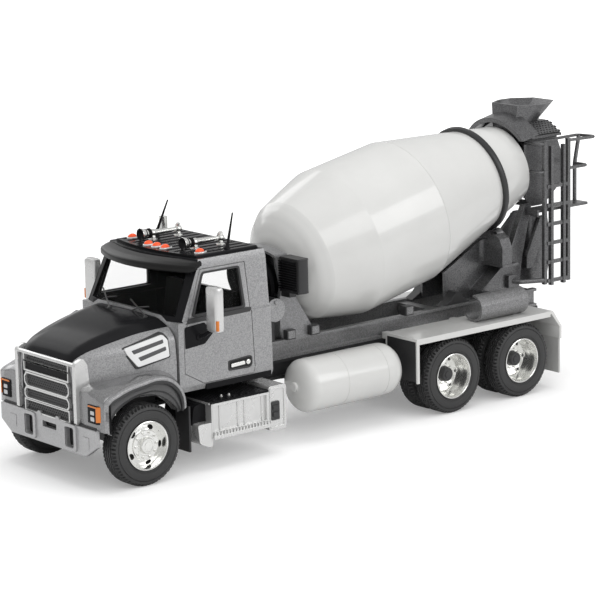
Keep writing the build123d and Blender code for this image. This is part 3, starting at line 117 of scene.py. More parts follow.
@dataclass(frozen=True)
class Finish:
    """A surface finish: one Principled shader with its fine structure from object-space noise."""

    name: str
    colour: tuple[float, float, float]
    rough: float = 0.4
    metal: float = 0.0
    coat: float = 0.0
    grain: Grain = Grain.SMOOTH
    grain_mm: float = 0.3
    relief: float = 0.1
    mottle: float = 0.06
    alpha: float = 1.0
    # painted light: emission that makes a lens glow though it is no lamp
    glow: float = 0.0
    level: float = 0.5

    def material(self) -> bpy.types.Material:
        """Make the finish's material, or find it if it is made.

        Returns:
            The material.
        """
        own_name = self.name + "_finish"
        found = bpy.data.materials.get(own_name)
        if found:
            return found
        made = bpy.data.materials.new(own_name)
        made.use_nodes = True
        tree = made.node_tree
        shader = tree.nodes["Principled BSDF"]
        shader.inputs["Metallic"].default_value = self.metal
        shader.inputs["Coat Weight"].default_value = self.coat
        shader.inputs["Coat Roughness"].default_value = 0.05
        shader.inputs["Specular IOR Level"].default_value = self.level
        shader.inputs["Alpha"].default_value = self.alpha
        if self.glow:
            shader.inputs["Emission Color"].default_value = (*self.colour, 1.0)
            shader.inputs["Emission Strength"].default_value = self.glow
        where = tree.nodes.new("ShaderNodeTexCoord").outputs["Object"]
        self._tone(tree, shader, where)
        self._roughness(tree, shader, where)
        self._relief(tree, shader, where)
        return made

    @staticmethod
    def _noise(tree: bpy.types.NodeTree, where: bpy.types.NodeSocket, size_mm: float,
               detail: float) -> bpy.types.Node:
        """Noise whose features are about size_mm across.

        Args:
            tree: Node tree to add to.
            where: Coordinates socket.
            size_mm: Feature size in mm.
            detail: Octaves.

        Returns:
            The noise node.
        """
        node = tree.nodes.new("ShaderNodeTexNoise")
        node.inputs["Scale"].default_value = 1.0 / (size_mm * MM)
        node.inputs["Detail"].default_value = detail
        tree.links.new(where, node.inputs["Vector"])
        return node

    def _cells(self, tree: bpy.types.NodeTree, where: bpy.types.NodeSocket) -> bpy.types.Node:
        """Voronoi cells the size of the metal flakes.

        Args:
            tree: Node tree to add to.
            where: Coordinates socket.

        Returns:
            The cell node.
        """
        node = tree.nodes.new("ShaderNodeTexVoronoi")
        node.inputs["Scale"].default_value = 1.0 / (self.grain_mm * MM)
        tree.links.new(where, node.inputs["Vector"])
        return node

    def _tone(self, tree: bpy.types.NodeTree, shader: bpy.types.Node, where: bpy.types.NodeSocket) -> None:
        """Vary the colour: flake by flake, or slowly over the piece.

        Args:
            tree: Node tree to add to.
            shader: The Principled shader.
            where: Coordinates socket.
        """
        if not self.mottle:
            shader.inputs["Base Color"].default_value = (*self.colour, 1.0)
            return
        spread = tree.nodes.new("ShaderNodeMapRange")
        if self.grain is Grain.FLAKE:
            grey = tree.nodes.new("ShaderNodeSeparateColor")
            tree.links.new(self._cells(tree, where).outputs["Color"], grey.inputs["Color"])
            source = grey.outputs["Red"]
            spread.inputs["From Min"].default_value, spread.inputs["From Max"].default_value = 0.0, 1.0
        else:
            source = self._noise(tree, where, PATCH_MM, 4.0).outputs["Fac"]
            spread.inputs["From Min"].default_value, spread.inputs["From Max"].default_value = 0.3, 0.7
        spread.inputs["To Min"].default_value = 1.0 - self.mottle
        spread.inputs["To Max"].default_value = 1.0 + self.mottle
        tree.links.new(source, spread.inputs["Value"])
        scale = tree.nodes.new("ShaderNodeVectorMath")
        scale.operation = "SCALE"
        scale.inputs[0].default_value = self.colour
        tree.links.new(spread.outputs["Result"], scale.inputs["Scale"])
        tree.links.new(scale.outputs["Vector"], shader.inputs["Base Color"])

    def _roughness(self, tree: bpy.types.NodeTree, shader: bpy.types.Node, where: bpy.types.NodeSocket) -> None:
        """Vary the roughness a little, as handling and moulding leave it.

        Args:
            tree: Node tree to add to.
            shader: The Principled shader.
            where: Coordinates socket.
        """
        spread = tree.nodes.new("ShaderNodeMapRange")
        spread.inputs["To Min"].default_value = max(self.rough - 0.05, 0.02)
        spread.inputs["To Max"].default_value = min(self.rough + 0.06, 1.0)
        tree.links.new(self._noise(tree, where, SMEAR_MM, 3.0).outputs["Fac"], spread.inputs["Value"])
        tree.links.new(spread.outputs["Result"], shader.inputs["Roughness"])

    def _relief(self, tree: bpy.types.NodeTree, shader: bpy.types.Node, where: bpy.types.NodeSocket) -> None:
        """Raise the fine structure: flakes, mould grain, casting skin or a faint orange peel.

        Args:
            tree: Node tree to add to.
            shader: The Principled shader.
            where: Coordinates socket.
        """
        if not self.relief:
            return
        bump = tree.nodes.new("ShaderNodeBump")
        bump.inputs["Strength"].default_value = self.relief
        bump.inputs["Distance"].default_value = RELIEF_MM * MM
        if self.grain is Grain.FLAKE:
            height = self._cells(tree, where).outputs["Distance"]
        else:
            height = self._noise(tree, where, self.grain_mm, 5.0 if self.grain is Grain.CAST else 2.0).outputs["Fac"]
        tree.links.new(height, bump.inputs["Height"])
        tree.links.new(bump.outputs["Normal"], shader.inputs["Normal"])


SILVER = Finish("cab_silver_flake", (0.325, 0.325, 0.33), rough=0.4, metal=0.55, coat=0.2, grain=Grain.FLAKE,
                grain_mm=0.24, relief=0.12, mottle=0.22)
GRAPHITE = Finish("graphite_flake", (0.14, 0.14, 0.143), rough=0.34, metal=0.75, coat=0.2, grain=Grain.FLAKE,
                  grain_mm=0.22, relief=0.12, mottle=0.35)
FLAP = Finish("flap_grey", (0.48, 0.48, 0.47), rough=0.5, grain_mm=0.5, relief=0.05)
VISOR = Finish("visor_black", (0.008, 0.008, 0.008), rough=0.3, grain_mm=0.8, relief=0.03, level=0.2)
RAIL = Finish("rail_flake", (0.22, 0.22, 0.223), rough=0.38, metal=0.55, coat=0.15, grain=Grain.FLAKE, grain_mm=0.22,
              relief=0.12, mottle=0.3)
PLATE_SILVER = Finish("mixer_silver_flake", (0.24, 0.24, 0.245), rough=0.42, metal=0.5, coat=0.1, grain=Grain.FLAKE,
                      grain_mm=0.24, relief=0.12, mottle=0.22)
FENDER = Finish("fender_silver_gloss", (0.245, 0.245, 0.248), rough=0.25, metal=0.7, coat=0.5, grain=Grain.FLAKE,
                grain_mm=0.22, relief=0.06, mottle=0.16)
BLACK = Finish("gloss_black_paint", (0.011, 0.011, 0.012), rough=0.18, grain_mm=0.8, relief=0.03, level=0.07)
WHITE = Finish("gloss_white_paint", (0.63, 0.63, 0.617), rough=0.22, coat=0.5, grain_mm=1.2, relief=0.02, mottle=0.02)
CHASSIS = Finish("chassis_black_satin", (0.022, 0.022, 0.023), rough=0.38, grain_mm=0.4, relief=0.15)
PLASTIC = Finish("moulded_black_plastic", (0.03, 0.03, 0.031), rough=0.4, grain=Grain.MOULDED, grain_mm=0.22,
                 relief=0.2)
FLARE = Finish("flare_plastic", (0.06, 0.06, 0.061), rough=0.28, coat=0.3, grain=Grain.MOULDED, grain_mm=0.25,
               relief=0.15)
RUBBER = Finish("flap_rubber", (0.02, 0.02, 0.021), rough=0.55, grain=Grain.MOULDED, grain_mm=0.25, relief=0.25)
TYRE = Finish("tyre_rubber", (0.028, 0.028, 0.0285), rough=0.5, grain=Grain.MOULDED, grain_mm=0.25, relief=0.15,
              mottle=0.12)
CHROME = Finish("bright_chrome", (0.86, 0.86, 0.84), rough=0.2, metal=1.0, grain_mm=0.6, relief=0.0, mottle=0.02)
SATIN = Finish("satin_silver_plate", (0.68, 0.68, 0.675), rough=0.26, metal=0.7, coat=0.2, grain=Grain.MOULDED,
               grain_mm=0.3, relief=0.08, mottle=0.04)
BUMPER = Finish("bumper_silver", (0.45, 0.45, 0.455), rough=0.34, metal=0.6, coat=0.2, grain=Grain.FLAKE, grain_mm=0.2,
                relief=0.1, mottle=0.1)
GUNMETAL = Finish("gunmetal_plastic", (0.085, 0.085, 0.088), rough=0.35, metal=0.4, grain=Grain.MOULDED, grain_mm=0.3)
ENGINE = Finish("cast_grey", (0.1, 0.1, 0.1), rough=0.6, metal=0.3, grain=Grain.CAST, grain_mm=0.5, relief=0.5)
TRIM = Finish("cab_trim", (0.01, 0.01, 0.01), rough=0.6, level=0.15, grain=Grain.MOULDED, grain_mm=0.3, relief=0.3)
GLASS = Finish("clear_glass", (0.02, 0.022, 0.021), rough=0.03, relief=0.0, mottle=0.0, alpha=0.06, level=0.3)
VENT = Finish("vent_plate_bright", (0.78, 0.78, 0.78), rough=0.3, metal=0.35, coat=0.2, grain=Grain.MOULDED,
              grain_mm=0.3, relief=0.06, mottle=0.04)
LAMP = Finish("lamp_clear", (0.5, 0.51, 0.52), rough=0.15, metal=0.3, coat=1.0, grain_mm=0.3, relief=0.3)
# painted glow: the amber and marker lenses give off light though they are unlit
AMBER = Finish("amber_lens", (0.62, 0.17, 0.012), rough=0.2, coat=0.4, glow=0.06, grain_mm=0.3, relief=0.1)
MARKER = Finish("marker_lens", (0.85, 0.085, 0.012), rough=0.2, coat=0.4, glow=0.14, grain_mm=0.3, relief=0.1)
RED = Finish("red_lens", (0.55, 0.02, 0.015), rough=0.2, coat=0.6, grain_mm=0.3, relief=0.1)
# painted shade: near-black for the floors of holes, the front wheels' backs and rod, and the handle recesses, where
# shade falls
SHADE_BLACK = Finish("painted_shade_black", (0.006, 0.006, 0.006), rough=0.7, grain_mm=0.4, relief=0.1)

SLOT_FINISH = {
    "cab_silver": SILVER, "gloss_black": BLACK, "gloss_white": WHITE, "mixer_silver": PLATE_SILVER,
    "mixer_graphite": GRAPHITE, "chassis_black": CHASSIS, "engine_grey": ENGINE, "bumper_silver": BUMPER,
    "bright_chrome": CHROME, "black_plastic": PLASTIC, "cab_trim": TRIM, "black_rubber": RUBBER,
    "tyre_rubber": TYRE, "clear_glass": GLASS, "lamp_lens": LAMP, "amber_lens": AMBER, "red_lens": RED,
}


# ---- shapes ------------------------------------------------------------------------------------


class Skin:
    """A surface gathered from patches, in mm from the front axle."""

    def __init__(self) -> None:
        """Start with nothing."""
        self.points: list[np.ndarray] = []
        self.faces: list[list[int]] = []
        self.slots: list[int] = []
        self.count = 0

    def add(self, points: np.ndarray, faces: Sequence[Sequence[int]], slot: int = 0) -> None:
        """Add points and the faces between them.

        Args:
            points: Array n by 3.
            faces: Corner numbers of each face, counted in points.
            slot: Which of the piece's finishes they take.
        """
        base = self.count
        self.points.append(np.asarray(points, float).reshape(-1, 3))
        self.faces += (np.asarray(faces) + base).tolist() if isinstance(faces, np.ndarray) else [
            [k + base for k in face] for face in faces]
        self.slots += [slot] * len(faces)
        self.count += len(self.points[-1])

    def grid(self, net: np.ndarray, slot: int = 0, around: bool = False, looped: bool = False) -> None:
        """Add a net of quads through points net[i, j].

        Args:
            net: Array nu by nv by 3.
            slot: Finish number.
            around: Whether the second direction closes on itself.
            looped: Whether the first direction closes on itself.
        """
        nu, nv = net.shape[:2]
        i = np.arange(nu if looped else nu - 1)[:, None]
        j = np.arange(nv if around else nv - 1)[None, :]
        i2, j2 = (i + 1) % nu, (j + 1) % nv
        quads = np.stack([i * nv + j, i * nv + j2, i2 * nv + j2, i2 * nv + j], axis=-1).reshape(-1, 4)
        self.add(net.reshape(-1, 3), quads, slot)

    def cap(self, ring: np.ndarray, slot: int = 0) -> None:
        """Close a ring of points with one face."""
        self.add(ring, [list(range(len(ring)))], slot)

    def both_sides(self) -> "Skin":
        """Add the mirror image across the truck's middle.

        Returns:
            The same skin.
        """
        points, faces, slots = np.concatenate(self.points), list(self.faces), list(self.slots)
        base = self.count
        self.points.append(points * (-1, 1, 1))
        self.faces += [[k + base for k in reversed(face)] for face in faces]
        self.slots += slots
        self.count += len(points)
        return self

    def box(self, x: tuple[float, float], y: tuple[float, float], z: tuple[float, float], slot: int = 0) -> None:
        """Add a block between two corners, for plates and bars whose edges the bevel rounds."""
        self.prism([(y[0], z[0]), (y[1], z[0]), (y[1], z[1]), (y[0], z[1])], "x", x[0], x[1], slot)

    def prism(self, outline: Sequence[tuple[float, float]], axis: str, a: float, b: float, slot: int = 0) -> None:
        """Add a flat outline carried from a to b along an axis.

        Args:
            outline: Corners, as (y, z) along x, (x, z) along y or (x, y) along z.
            axis: "x", "y" or "z".
            a: Where it starts.
            b: Where it ends.
            slot: Finish number.
        """
        flat = np.asarray(outline, float)
        ends = [self.lay(flat, axis, at) for at in (a, b)]
        self.grid(np.stack(ends), slot, around=True)
        self.cap(ends[0], slot)
        self.cap(ends[1][::-1], slot)

    @staticmethod
    def lay(flat: np.ndarray, axis: str, at: float) -> np.ndarray:
        """Stand flat points in space, square to an axis at a station.

        Args:
            flat: Array n by 2.
            axis: "x", "y" or "z".
            at: The station along the axis.

        Returns:
            Array n by 3.
        """
        order = {"x": (1, 2), "y": (0, 2), "z": (0, 1)}[axis]
        out = np.full((len(flat), 3), float(at))
        out[:, order[0]], out[:, order[1]] = flat[:, 0], flat[:, 1]
        return out

    def ring_plate(self, outer: Sequence[tuple[float, float]], inner: Sequence[tuple[float, float]], axis: str,
                   a: float, b: float, slot: int = 0) -> None:
        """Add a frame between two outlines with as many corners, carried from a to b."""
        rows = [self.lay(np.asarray(line, float), axis, at) for line, at in
                ((outer, a), (outer, b), (inner, b), (inner, a))]
        self.grid(np.stack(rows), slot, around=True, looped=True)

    def tube(self, path: np.ndarray, radius: float | np.ndarray, steps: int = 12, slot: int = 0) -> None:
        """Add a round bar along a path.

        Each ring stands square to the path's direction, from a side vector crossed with the vertical.

        Args:
            path: Array n by 3.
            radius: One radius, or one for each point.
            steps: Sides of the bar.
            slot: Finish number.
        """
        path = np.asarray(path, float)
        along = np.gradient(path, axis=0)
        along /= np.linalg.norm(along, axis=1, keepdims=True)
        helper = np.where(np.abs(along[:, 2:]) > 0.97, (1.0, 0.0, 0.0), (0.0, 0.0, 1.0))
        side = np.cross(along, helper)
        side /= np.linalg.norm(side, axis=1, keepdims=True)
        up = np.cross(side, along)
        turn = np.linspace(0, 2 * math.pi, steps, endpoint=False)
        radius = np.broadcast_to(np.asarray(radius, float), (len(path),))[:, None, None]
        net = path[:, None] + radius * (np.cos(turn)[None, :, None] * side[:, None]
                                        + np.sin(turn)[None, :, None] * up[:, None])
        self.grid(net, slot, around=True)
        self.cap(net[0], slot)
        self.cap(net[-1][::-1], slot)

    def lathe(self, profile: Sequence[tuple[float, float]], centre: tuple[float, float, float],
              axis: tuple[float, float, float], steps: int = 64, slot: int = 0) -> None:
        """Add a turned shape: every profile point (run, radius) carried round the axis.

        Args:
            profile: Runs along the axis and radii; a radius of 0 closes a pole.
            centre: Where the run is 0.
            axis: Direction of the run.
            steps: Steps round the circle.
            slot: Finish number.
        """
        run, radius = np.asarray(profile, float).T
        way = np.asarray(axis, float) / np.linalg.norm(axis)
        helper = (0.0, 0.0, 1.0) if abs(way[2]) < 0.9 else (1.0, 0.0, 0.0)
        side = np.cross(way, helper)
        side /= np.linalg.norm(side)
        up = np.cross(way, side)
        turn = np.linspace(0, 2 * math.pi, steps, endpoint=False)
        circle = np.cos(turn)[:, None] * side + np.sin(turn)[:, None] * up
        net = np.asarray(centre) + run[:, None, None] * way + radius[:, None, None] * circle[None]
        self.grid(net, slot, around=True)

    def punched(self, centres: np.ndarray, cell: tuple[float, float], hole: tuple[float, float], deep: float,
                lay: Callable[[np.ndarray, np.ndarray, np.ndarray], np.ndarray], slots: tuple[int, int] = (0, 0),
                steps: int = 8) -> None:
        """Add a sheet of cells, each with an oval hole through it.

        A cell's square edge, and the oval at the top and at the depth, are three rings of the same angles.

        Args:
            centres: Cell centres, k by 2, in the sheet's own u and v.
            cell: Half size of a cell.
            hole: Half size of a hole.
            deep: Depth of the hole's wall.
            lay: Maps u, v and depth to points.
            slots: Finish of the sheet, and of the holes' floors.
            steps: Points round a hole; a multiple of 8.
        """
        turn = np.arange(steps) * 2 * math.pi / steps + math.pi / steps * (steps == 4)
        cos, sin = np.cos(turn), np.sin(turn)
        square = np.stack([cos, sin], 1) / np.maximum(np.abs(cos), np.abs(sin))[:, None] * cell
        oval = np.stack([cos, sin], 1) * hole
        rings = np.stack([square, oval, oval, oval * 0.02])
        where = np.asarray(centres, float)[:, None, None] + rings[None]
        depth = np.broadcast_to(np.array([0, 0, deep, deep])[None, :, None], where.shape[:3])
        net = lay(where[..., 0], where[..., 1], depth)
        cells = len(net)
        j = np.arange(steps)
        quad = np.stack([j, (j + 1) % steps, (j + 1) % steps + steps, j + steps], 1)
        top = np.concatenate([quad, quad + steps])
        base = np.arange(cells)[:, None, None] * 4 * steps
        self.add(net.reshape(-1, 3), (base + top).reshape(-1, 4), slots[0])
        self.add(net.reshape(-1, 3), (base + quad + 2 * steps).reshape(-1, 4), slots[1])


def rounded(corners: Sequence[tuple[float, ...]] | np.ndarray, radius: float, steps: int = 4,
            closed: bool = True) -> np.ndarray:
    """Round a polyline's corners with quadratic curves that start radius before each corner.

    Args:
        corners: Array k by d, or m by k by d for m polylines at once.
        radius: How far before and after the corner the curve starts, at most 45 % of an edge.
        steps: Points for each corner, less one.
        closed: Whether the last corner joins the first.

    Returns:
        The rounded points, with the same leading shape.
    """
    pts = np.asarray(corners, float)
    single = pts.ndim == 2
    pts = pts[None] if single else pts
    before, after = np.roll(pts, 1, axis=1), np.roll(pts, -1, axis=1)
    back, on = before - pts, after - pts
    cut_a = np.minimum(radius, 0.45 * np.linalg.norm(back, axis=-1, keepdims=True))
    cut_b = np.minimum(radius, 0.45 * np.linalg.norm(on, axis=-1, keepdims=True))
    a = pts + back / np.maximum(np.linalg.norm(back, axis=-1, keepdims=True), 1e-9) * cut_a
    b = pts + on / np.maximum(np.linalg.norm(on, axis=-1, keepdims=True), 1e-9) * cut_b
    t = np.linspace(0, 1, steps + 1)[None, None, :, None]
    curve = (1 - t) ** 2 * a[:, :, None] + 2 * t * (1 - t) * pts[:, :, None] + t ** 2 * b[:, :, None]
    if not closed:
        curve[:, 0] = pts[:, 0][:, None]
        curve[:, -1] = pts[:, -1][:, None]
    out = curve.reshape(len(pts), -1, pts.shape[-1])
    return out[0] if single else out


def stations(knots: Sequence[float], rows: np.ndarray, at: np.ndarray) -> np.ndarray:
    """Pass smooth curves through rows given at knots, by cubic Hermite pieces with averaged slopes.

    Args:
        knots: Places of the rows, rising.
        rows: Array with one entry for each knot.
        at: Places to read.

    Returns:
        The rows at those places.
    """
    knots, rows = np.asarray(knots, float), np.asarray(rows, float)
    slope = np.gradient(rows, knots, axis=0)
    k = np.clip(np.searchsorted(knots, at) - 1, 0, len(knots) - 2)
    span = knots[k + 1] - knots[k]
    shape = (-1,) + (1,) * (rows.ndim - 1)
    t = ((at - knots[k]) / span).reshape(shape)
    span = span.reshape(shape)
    return ((2 * t ** 3 - 3 * t ** 2 + 1) * rows[k] + (t ** 3 - 2 * t ** 2 + t) * span * slope[k]
            + (3 * t ** 2 - 2 * t ** 3) * rows[k + 1] + (t ** 3 - t ** 2) * span * slope[k + 1])


def staggered(width: float, height: float, pitch: tuple[float, float]) -> np.ndarray:
    """Centres of staggered cells that fill a rectangle about the origin.

    Args:
        width: Size along u.
        height: Size along v.
        pitch: Steps along u and v.

    Returns:
        Array k by 2.
    """
    nu, nv = int(width // pitch[0]), int(height // pitch[1])
    u = (np.arange(nu) - (nu - 1) / 2) * pitch[0]
    v = (np.arange(nv) - (nv - 1) / 2) * pitch[1]
    uu, vv = np.meshgrid(u, v)
    uu = uu + np.where(np.arange(nv) % 2, 0.25, -0.25)[:, None] * pitch[0]
    return np.stack([uu.ravel(), vv.ravel()], 1)


class Body(Enum):
    """The CAD bodies that pieces ride on."""

    TRUCK = "truck"
    HOOD = "hood"
    FRONT_AXLE = "front_axle"
    DRIVE_1 = "drive_axle_1"
    DRIVE_2 = "drive_axle_2"
    DRUM = "drum"
    SWIVEL = "chute_swivel"
    CHUTE = "main_chute"


@dataclass
class Workshop:
    """Makes meshes into dressed pieces that ride on the frame's bodies."""

    datum: Datum

    def finish(self, mesh: bpy.types.Mesh, name: str, finishes: Sequence[Finish], body: Body, slot: str,
               stands_for: Sequence[str], bevel: float, angle: float) -> bpy.types.Object:
        """Shade a mesh smooth with sharp edges, dress it and hand it to its body.

        Args:
            mesh: The mesh, placed in metres.
            name: Piece name.
            finishes: Its finishes, by slot number.
            body: The body it rides on.
            slot: The record's material slot.
            stands_for: CAD nodes it replaces.
            bevel: Width of the rounded edges in mm, or 0.
            angle: Edges sharper than this, in degrees, stay sharp or are bevelled.

        Returns:
            The object.
        """
        for finish in finishes:
            mesh.materials.append(finish.material())
        mesh.polygons.foreach_set("use_smooth", np.ones(len(mesh.polygons), bool))
        mesh.set_sharp_from_angle(angle=math.radians(angle))
        obj = bpy.data.objects.new(name, mesh)
        bpy.context.collection.objects.link(obj)
        if bevel:
            rounding = obj.modifiers.new("edges", "BEVEL")
            rounding.width = bevel * MM
            rounding.segments = 2
            rounding.limit_method = "ANGLE"
            rounding.angle_limit = math.radians(angle)
            rounding.harden_normals = True
        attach(obj, body.value)
        if stands_for:
            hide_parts(*stands_for)
        log.info("%s: %d faces on %s", name, len(mesh.polygons), body.value)
        return obj

    def mesh(self, name: str, skin: Skin, outward: bool = True) -> bpy.types.Mesh:
        """Make a skin into a mesh with its doubles merged.

        Args:
            name: Mesh name.
            skin: The surface, in mm from the axle.
            outward: Whether to turn all faces outwards.

        Returns:
            The mesh, placed in metres.
        """
        mesh = bpy.data.meshes.new(name)
        mesh.from_pydata(self.datum.place(np.concatenate(skin.points)).tolist(), [], skin.faces)
        mesh.polygons.foreach_set("material_index", skin.slots)
        work = bmesh.new()
        work.from_mesh(mesh)
        bmesh.ops.remove_doubles(work, verts=work.verts, dist=MERGE)
        if outward:
            bmesh.ops.recalc_face_normals(work, faces=work.faces)
        work.to_mesh(mesh)
        work.free()
        return mesh

    def piece(self, name: str, skin: Skin, finishes: Sequence[Finish], body: Body, slot: str,
              stands_for: Sequence[str] = (), bevel: float = 0.0, angle: float = 35.0,
              outward: bool = True) -> bpy.types.Object:
        """Make a skin into a piece.

        Args:
            name: Piece name.
            skin: The surface, in mm from the axle.
            finishes: Its finishes, by slot number.
            body: The body it rides on.
            slot: The record's material slot.
            stands_for: CAD nodes it replaces.
            bevel: Width of the rounded edges in mm, or 0.
            angle: Edge angle in degrees for sharp edges and bevels.
            outward: Whether to turn all faces outwards.

        Returns:
            The object.
        """
        return self.finish(self.mesh(name, skin, outward), name, finishes, body, slot, stands_for, bevel, angle)

    def carry(self, node: str, finishes: Sequence[Finish], body: Body, slot: str, bevel: float = 0.12,
              paint: Callable[[np.ndarray, np.ndarray], np.ndarray] | None = None) -> bpy.types.Object:
        """Carry a CAD node over as a merged copy with rounded edges.

        Args:
            node: The CAD node.
            finishes: Its finishes, by slot number.
            body: The body it rides on.
            slot: The record's material slot.
            bevel: Width of the rounded edges in mm.
            paint: Gives each face's finish number from its centre, in mm from the axle, and its normal.

        Returns:
            The object.
        """
        work = bmesh.new()
        work.from_mesh(bpy.data.objects[node].data)
        bmesh.ops.remove_doubles(work, verts=work.verts, dist=MERGE)
        bmesh.ops.dissolve_limit(work, angle_limit=math.radians(0.6), verts=work.verts, edges=work.edges)
        bmesh.ops.recalc_face_normals(work, faces=work.faces)
        mesh = bpy.data.meshes.new(node + "_form")
        work.to_mesh(mesh)
        work.free()
        if paint:
            centre, normal = np.empty(3 * len(mesh.polygons)), np.empty(3 * len(mesh.polygons))
            mesh.polygons.foreach_get("center", centre)
            mesh.polygons.foreach_get("normal", normal)
            place = centre.reshape(-1, 3) / MM - (0.0, self.datum.axle_y, 0.0)
            mesh.polygons.foreach_set("material_index", paint(place, normal.reshape(-1, 3)).astype(np.int32))
        return self.finish(mesh, node + "_form", finishes, body, slot, (node,), bevel, 32.0)


# ---- wheels ------------------------------------------------------------------------------------


@dataclass
class Tyre:
    """One tyre: sidewalls with rings and a tread of four zigzag grooves."""

    steps: int = 240
    groove_r: float = 0.75
    zigzags: int = 34
    notches: int = 60
    wall: tuple[tuple[float, float], ...] = (
        (1.4, 6.2), (0.9, 6.35), (0.45, 6.45), (0.22, 6.75), (0.24, 7.0), (0.06, 7.12), (0.0, 7.6), (0.0, 8.4),
        (0.1, 8.95), (0.26, 9.05), (0.1, 9.18), (0.28, 9.8), (0.62, 10.25), (0.95, 10.42), (1.1, 10.48))

    def add_to(self, skin: Skin, x: float, width: float, y: float) -> None:
        """Add a tyre from x to x + width about an axle at y.

        A ring of profile points is carried round; the groove points move sideways as a triangle wave, and
        the shoulder points drop at each notch.

        Args:
            skin: Surface to add to.
            x: Inner sidewall.
            width: Width of the tyre.
            y: Axle.
        """
        wall = np.asarray(self.wall)
        grooves = width / 2 + np.array([-1.35, -0.45, 0.45, 1.35])
        half, deep = 0.17, TYRE_R - self.groove_r
        middle = np.concatenate([[(g - half, TYRE_R), (g - half, deep), (g + half, deep), (g + half, TYRE_R)]
                                 for g in grooves])
        across = np.concatenate([wall, middle, np.stack([width - wall[::-1, 0], wall[::-1, 1]], 1)])
        turn = np.linspace(0, 2 * math.pi, self.steps, endpoint=False)
        wave = np.abs((turn * self.zigzags / (2 * math.pi)) % 1 * 2 - 1) - 0.5
        in_tread = np.zeros(len(across))
        in_tread[len(wall):len(wall) + len(middle)] = 1.0
        shoulder = np.zeros(len(across))
        shoulder[[len(wall) - 1, len(wall) - 2, len(wall) - 3, len(across) - len(wall), len(across) - len(wall) + 1,
                  len(across) - len(wall) + 2]] = 1.0
        notch = ((turn * self.notches / (2 * math.pi)) % 1 < 0.4).astype(float)
        xs = x + across[None, :, 0] + 0.42 * wave[:, None] * in_tread[None]
        rs = across[None, :, 1] - 0.55 * notch[:, None] * shoulder[None]
        net = np.stack([xs + 0 * rs, y + rs * np.cos(turn)[:, None], TYRE_R + rs * np.sin(turn)[:, None]], -1)
        skin.grid(net, 0, looped=True)


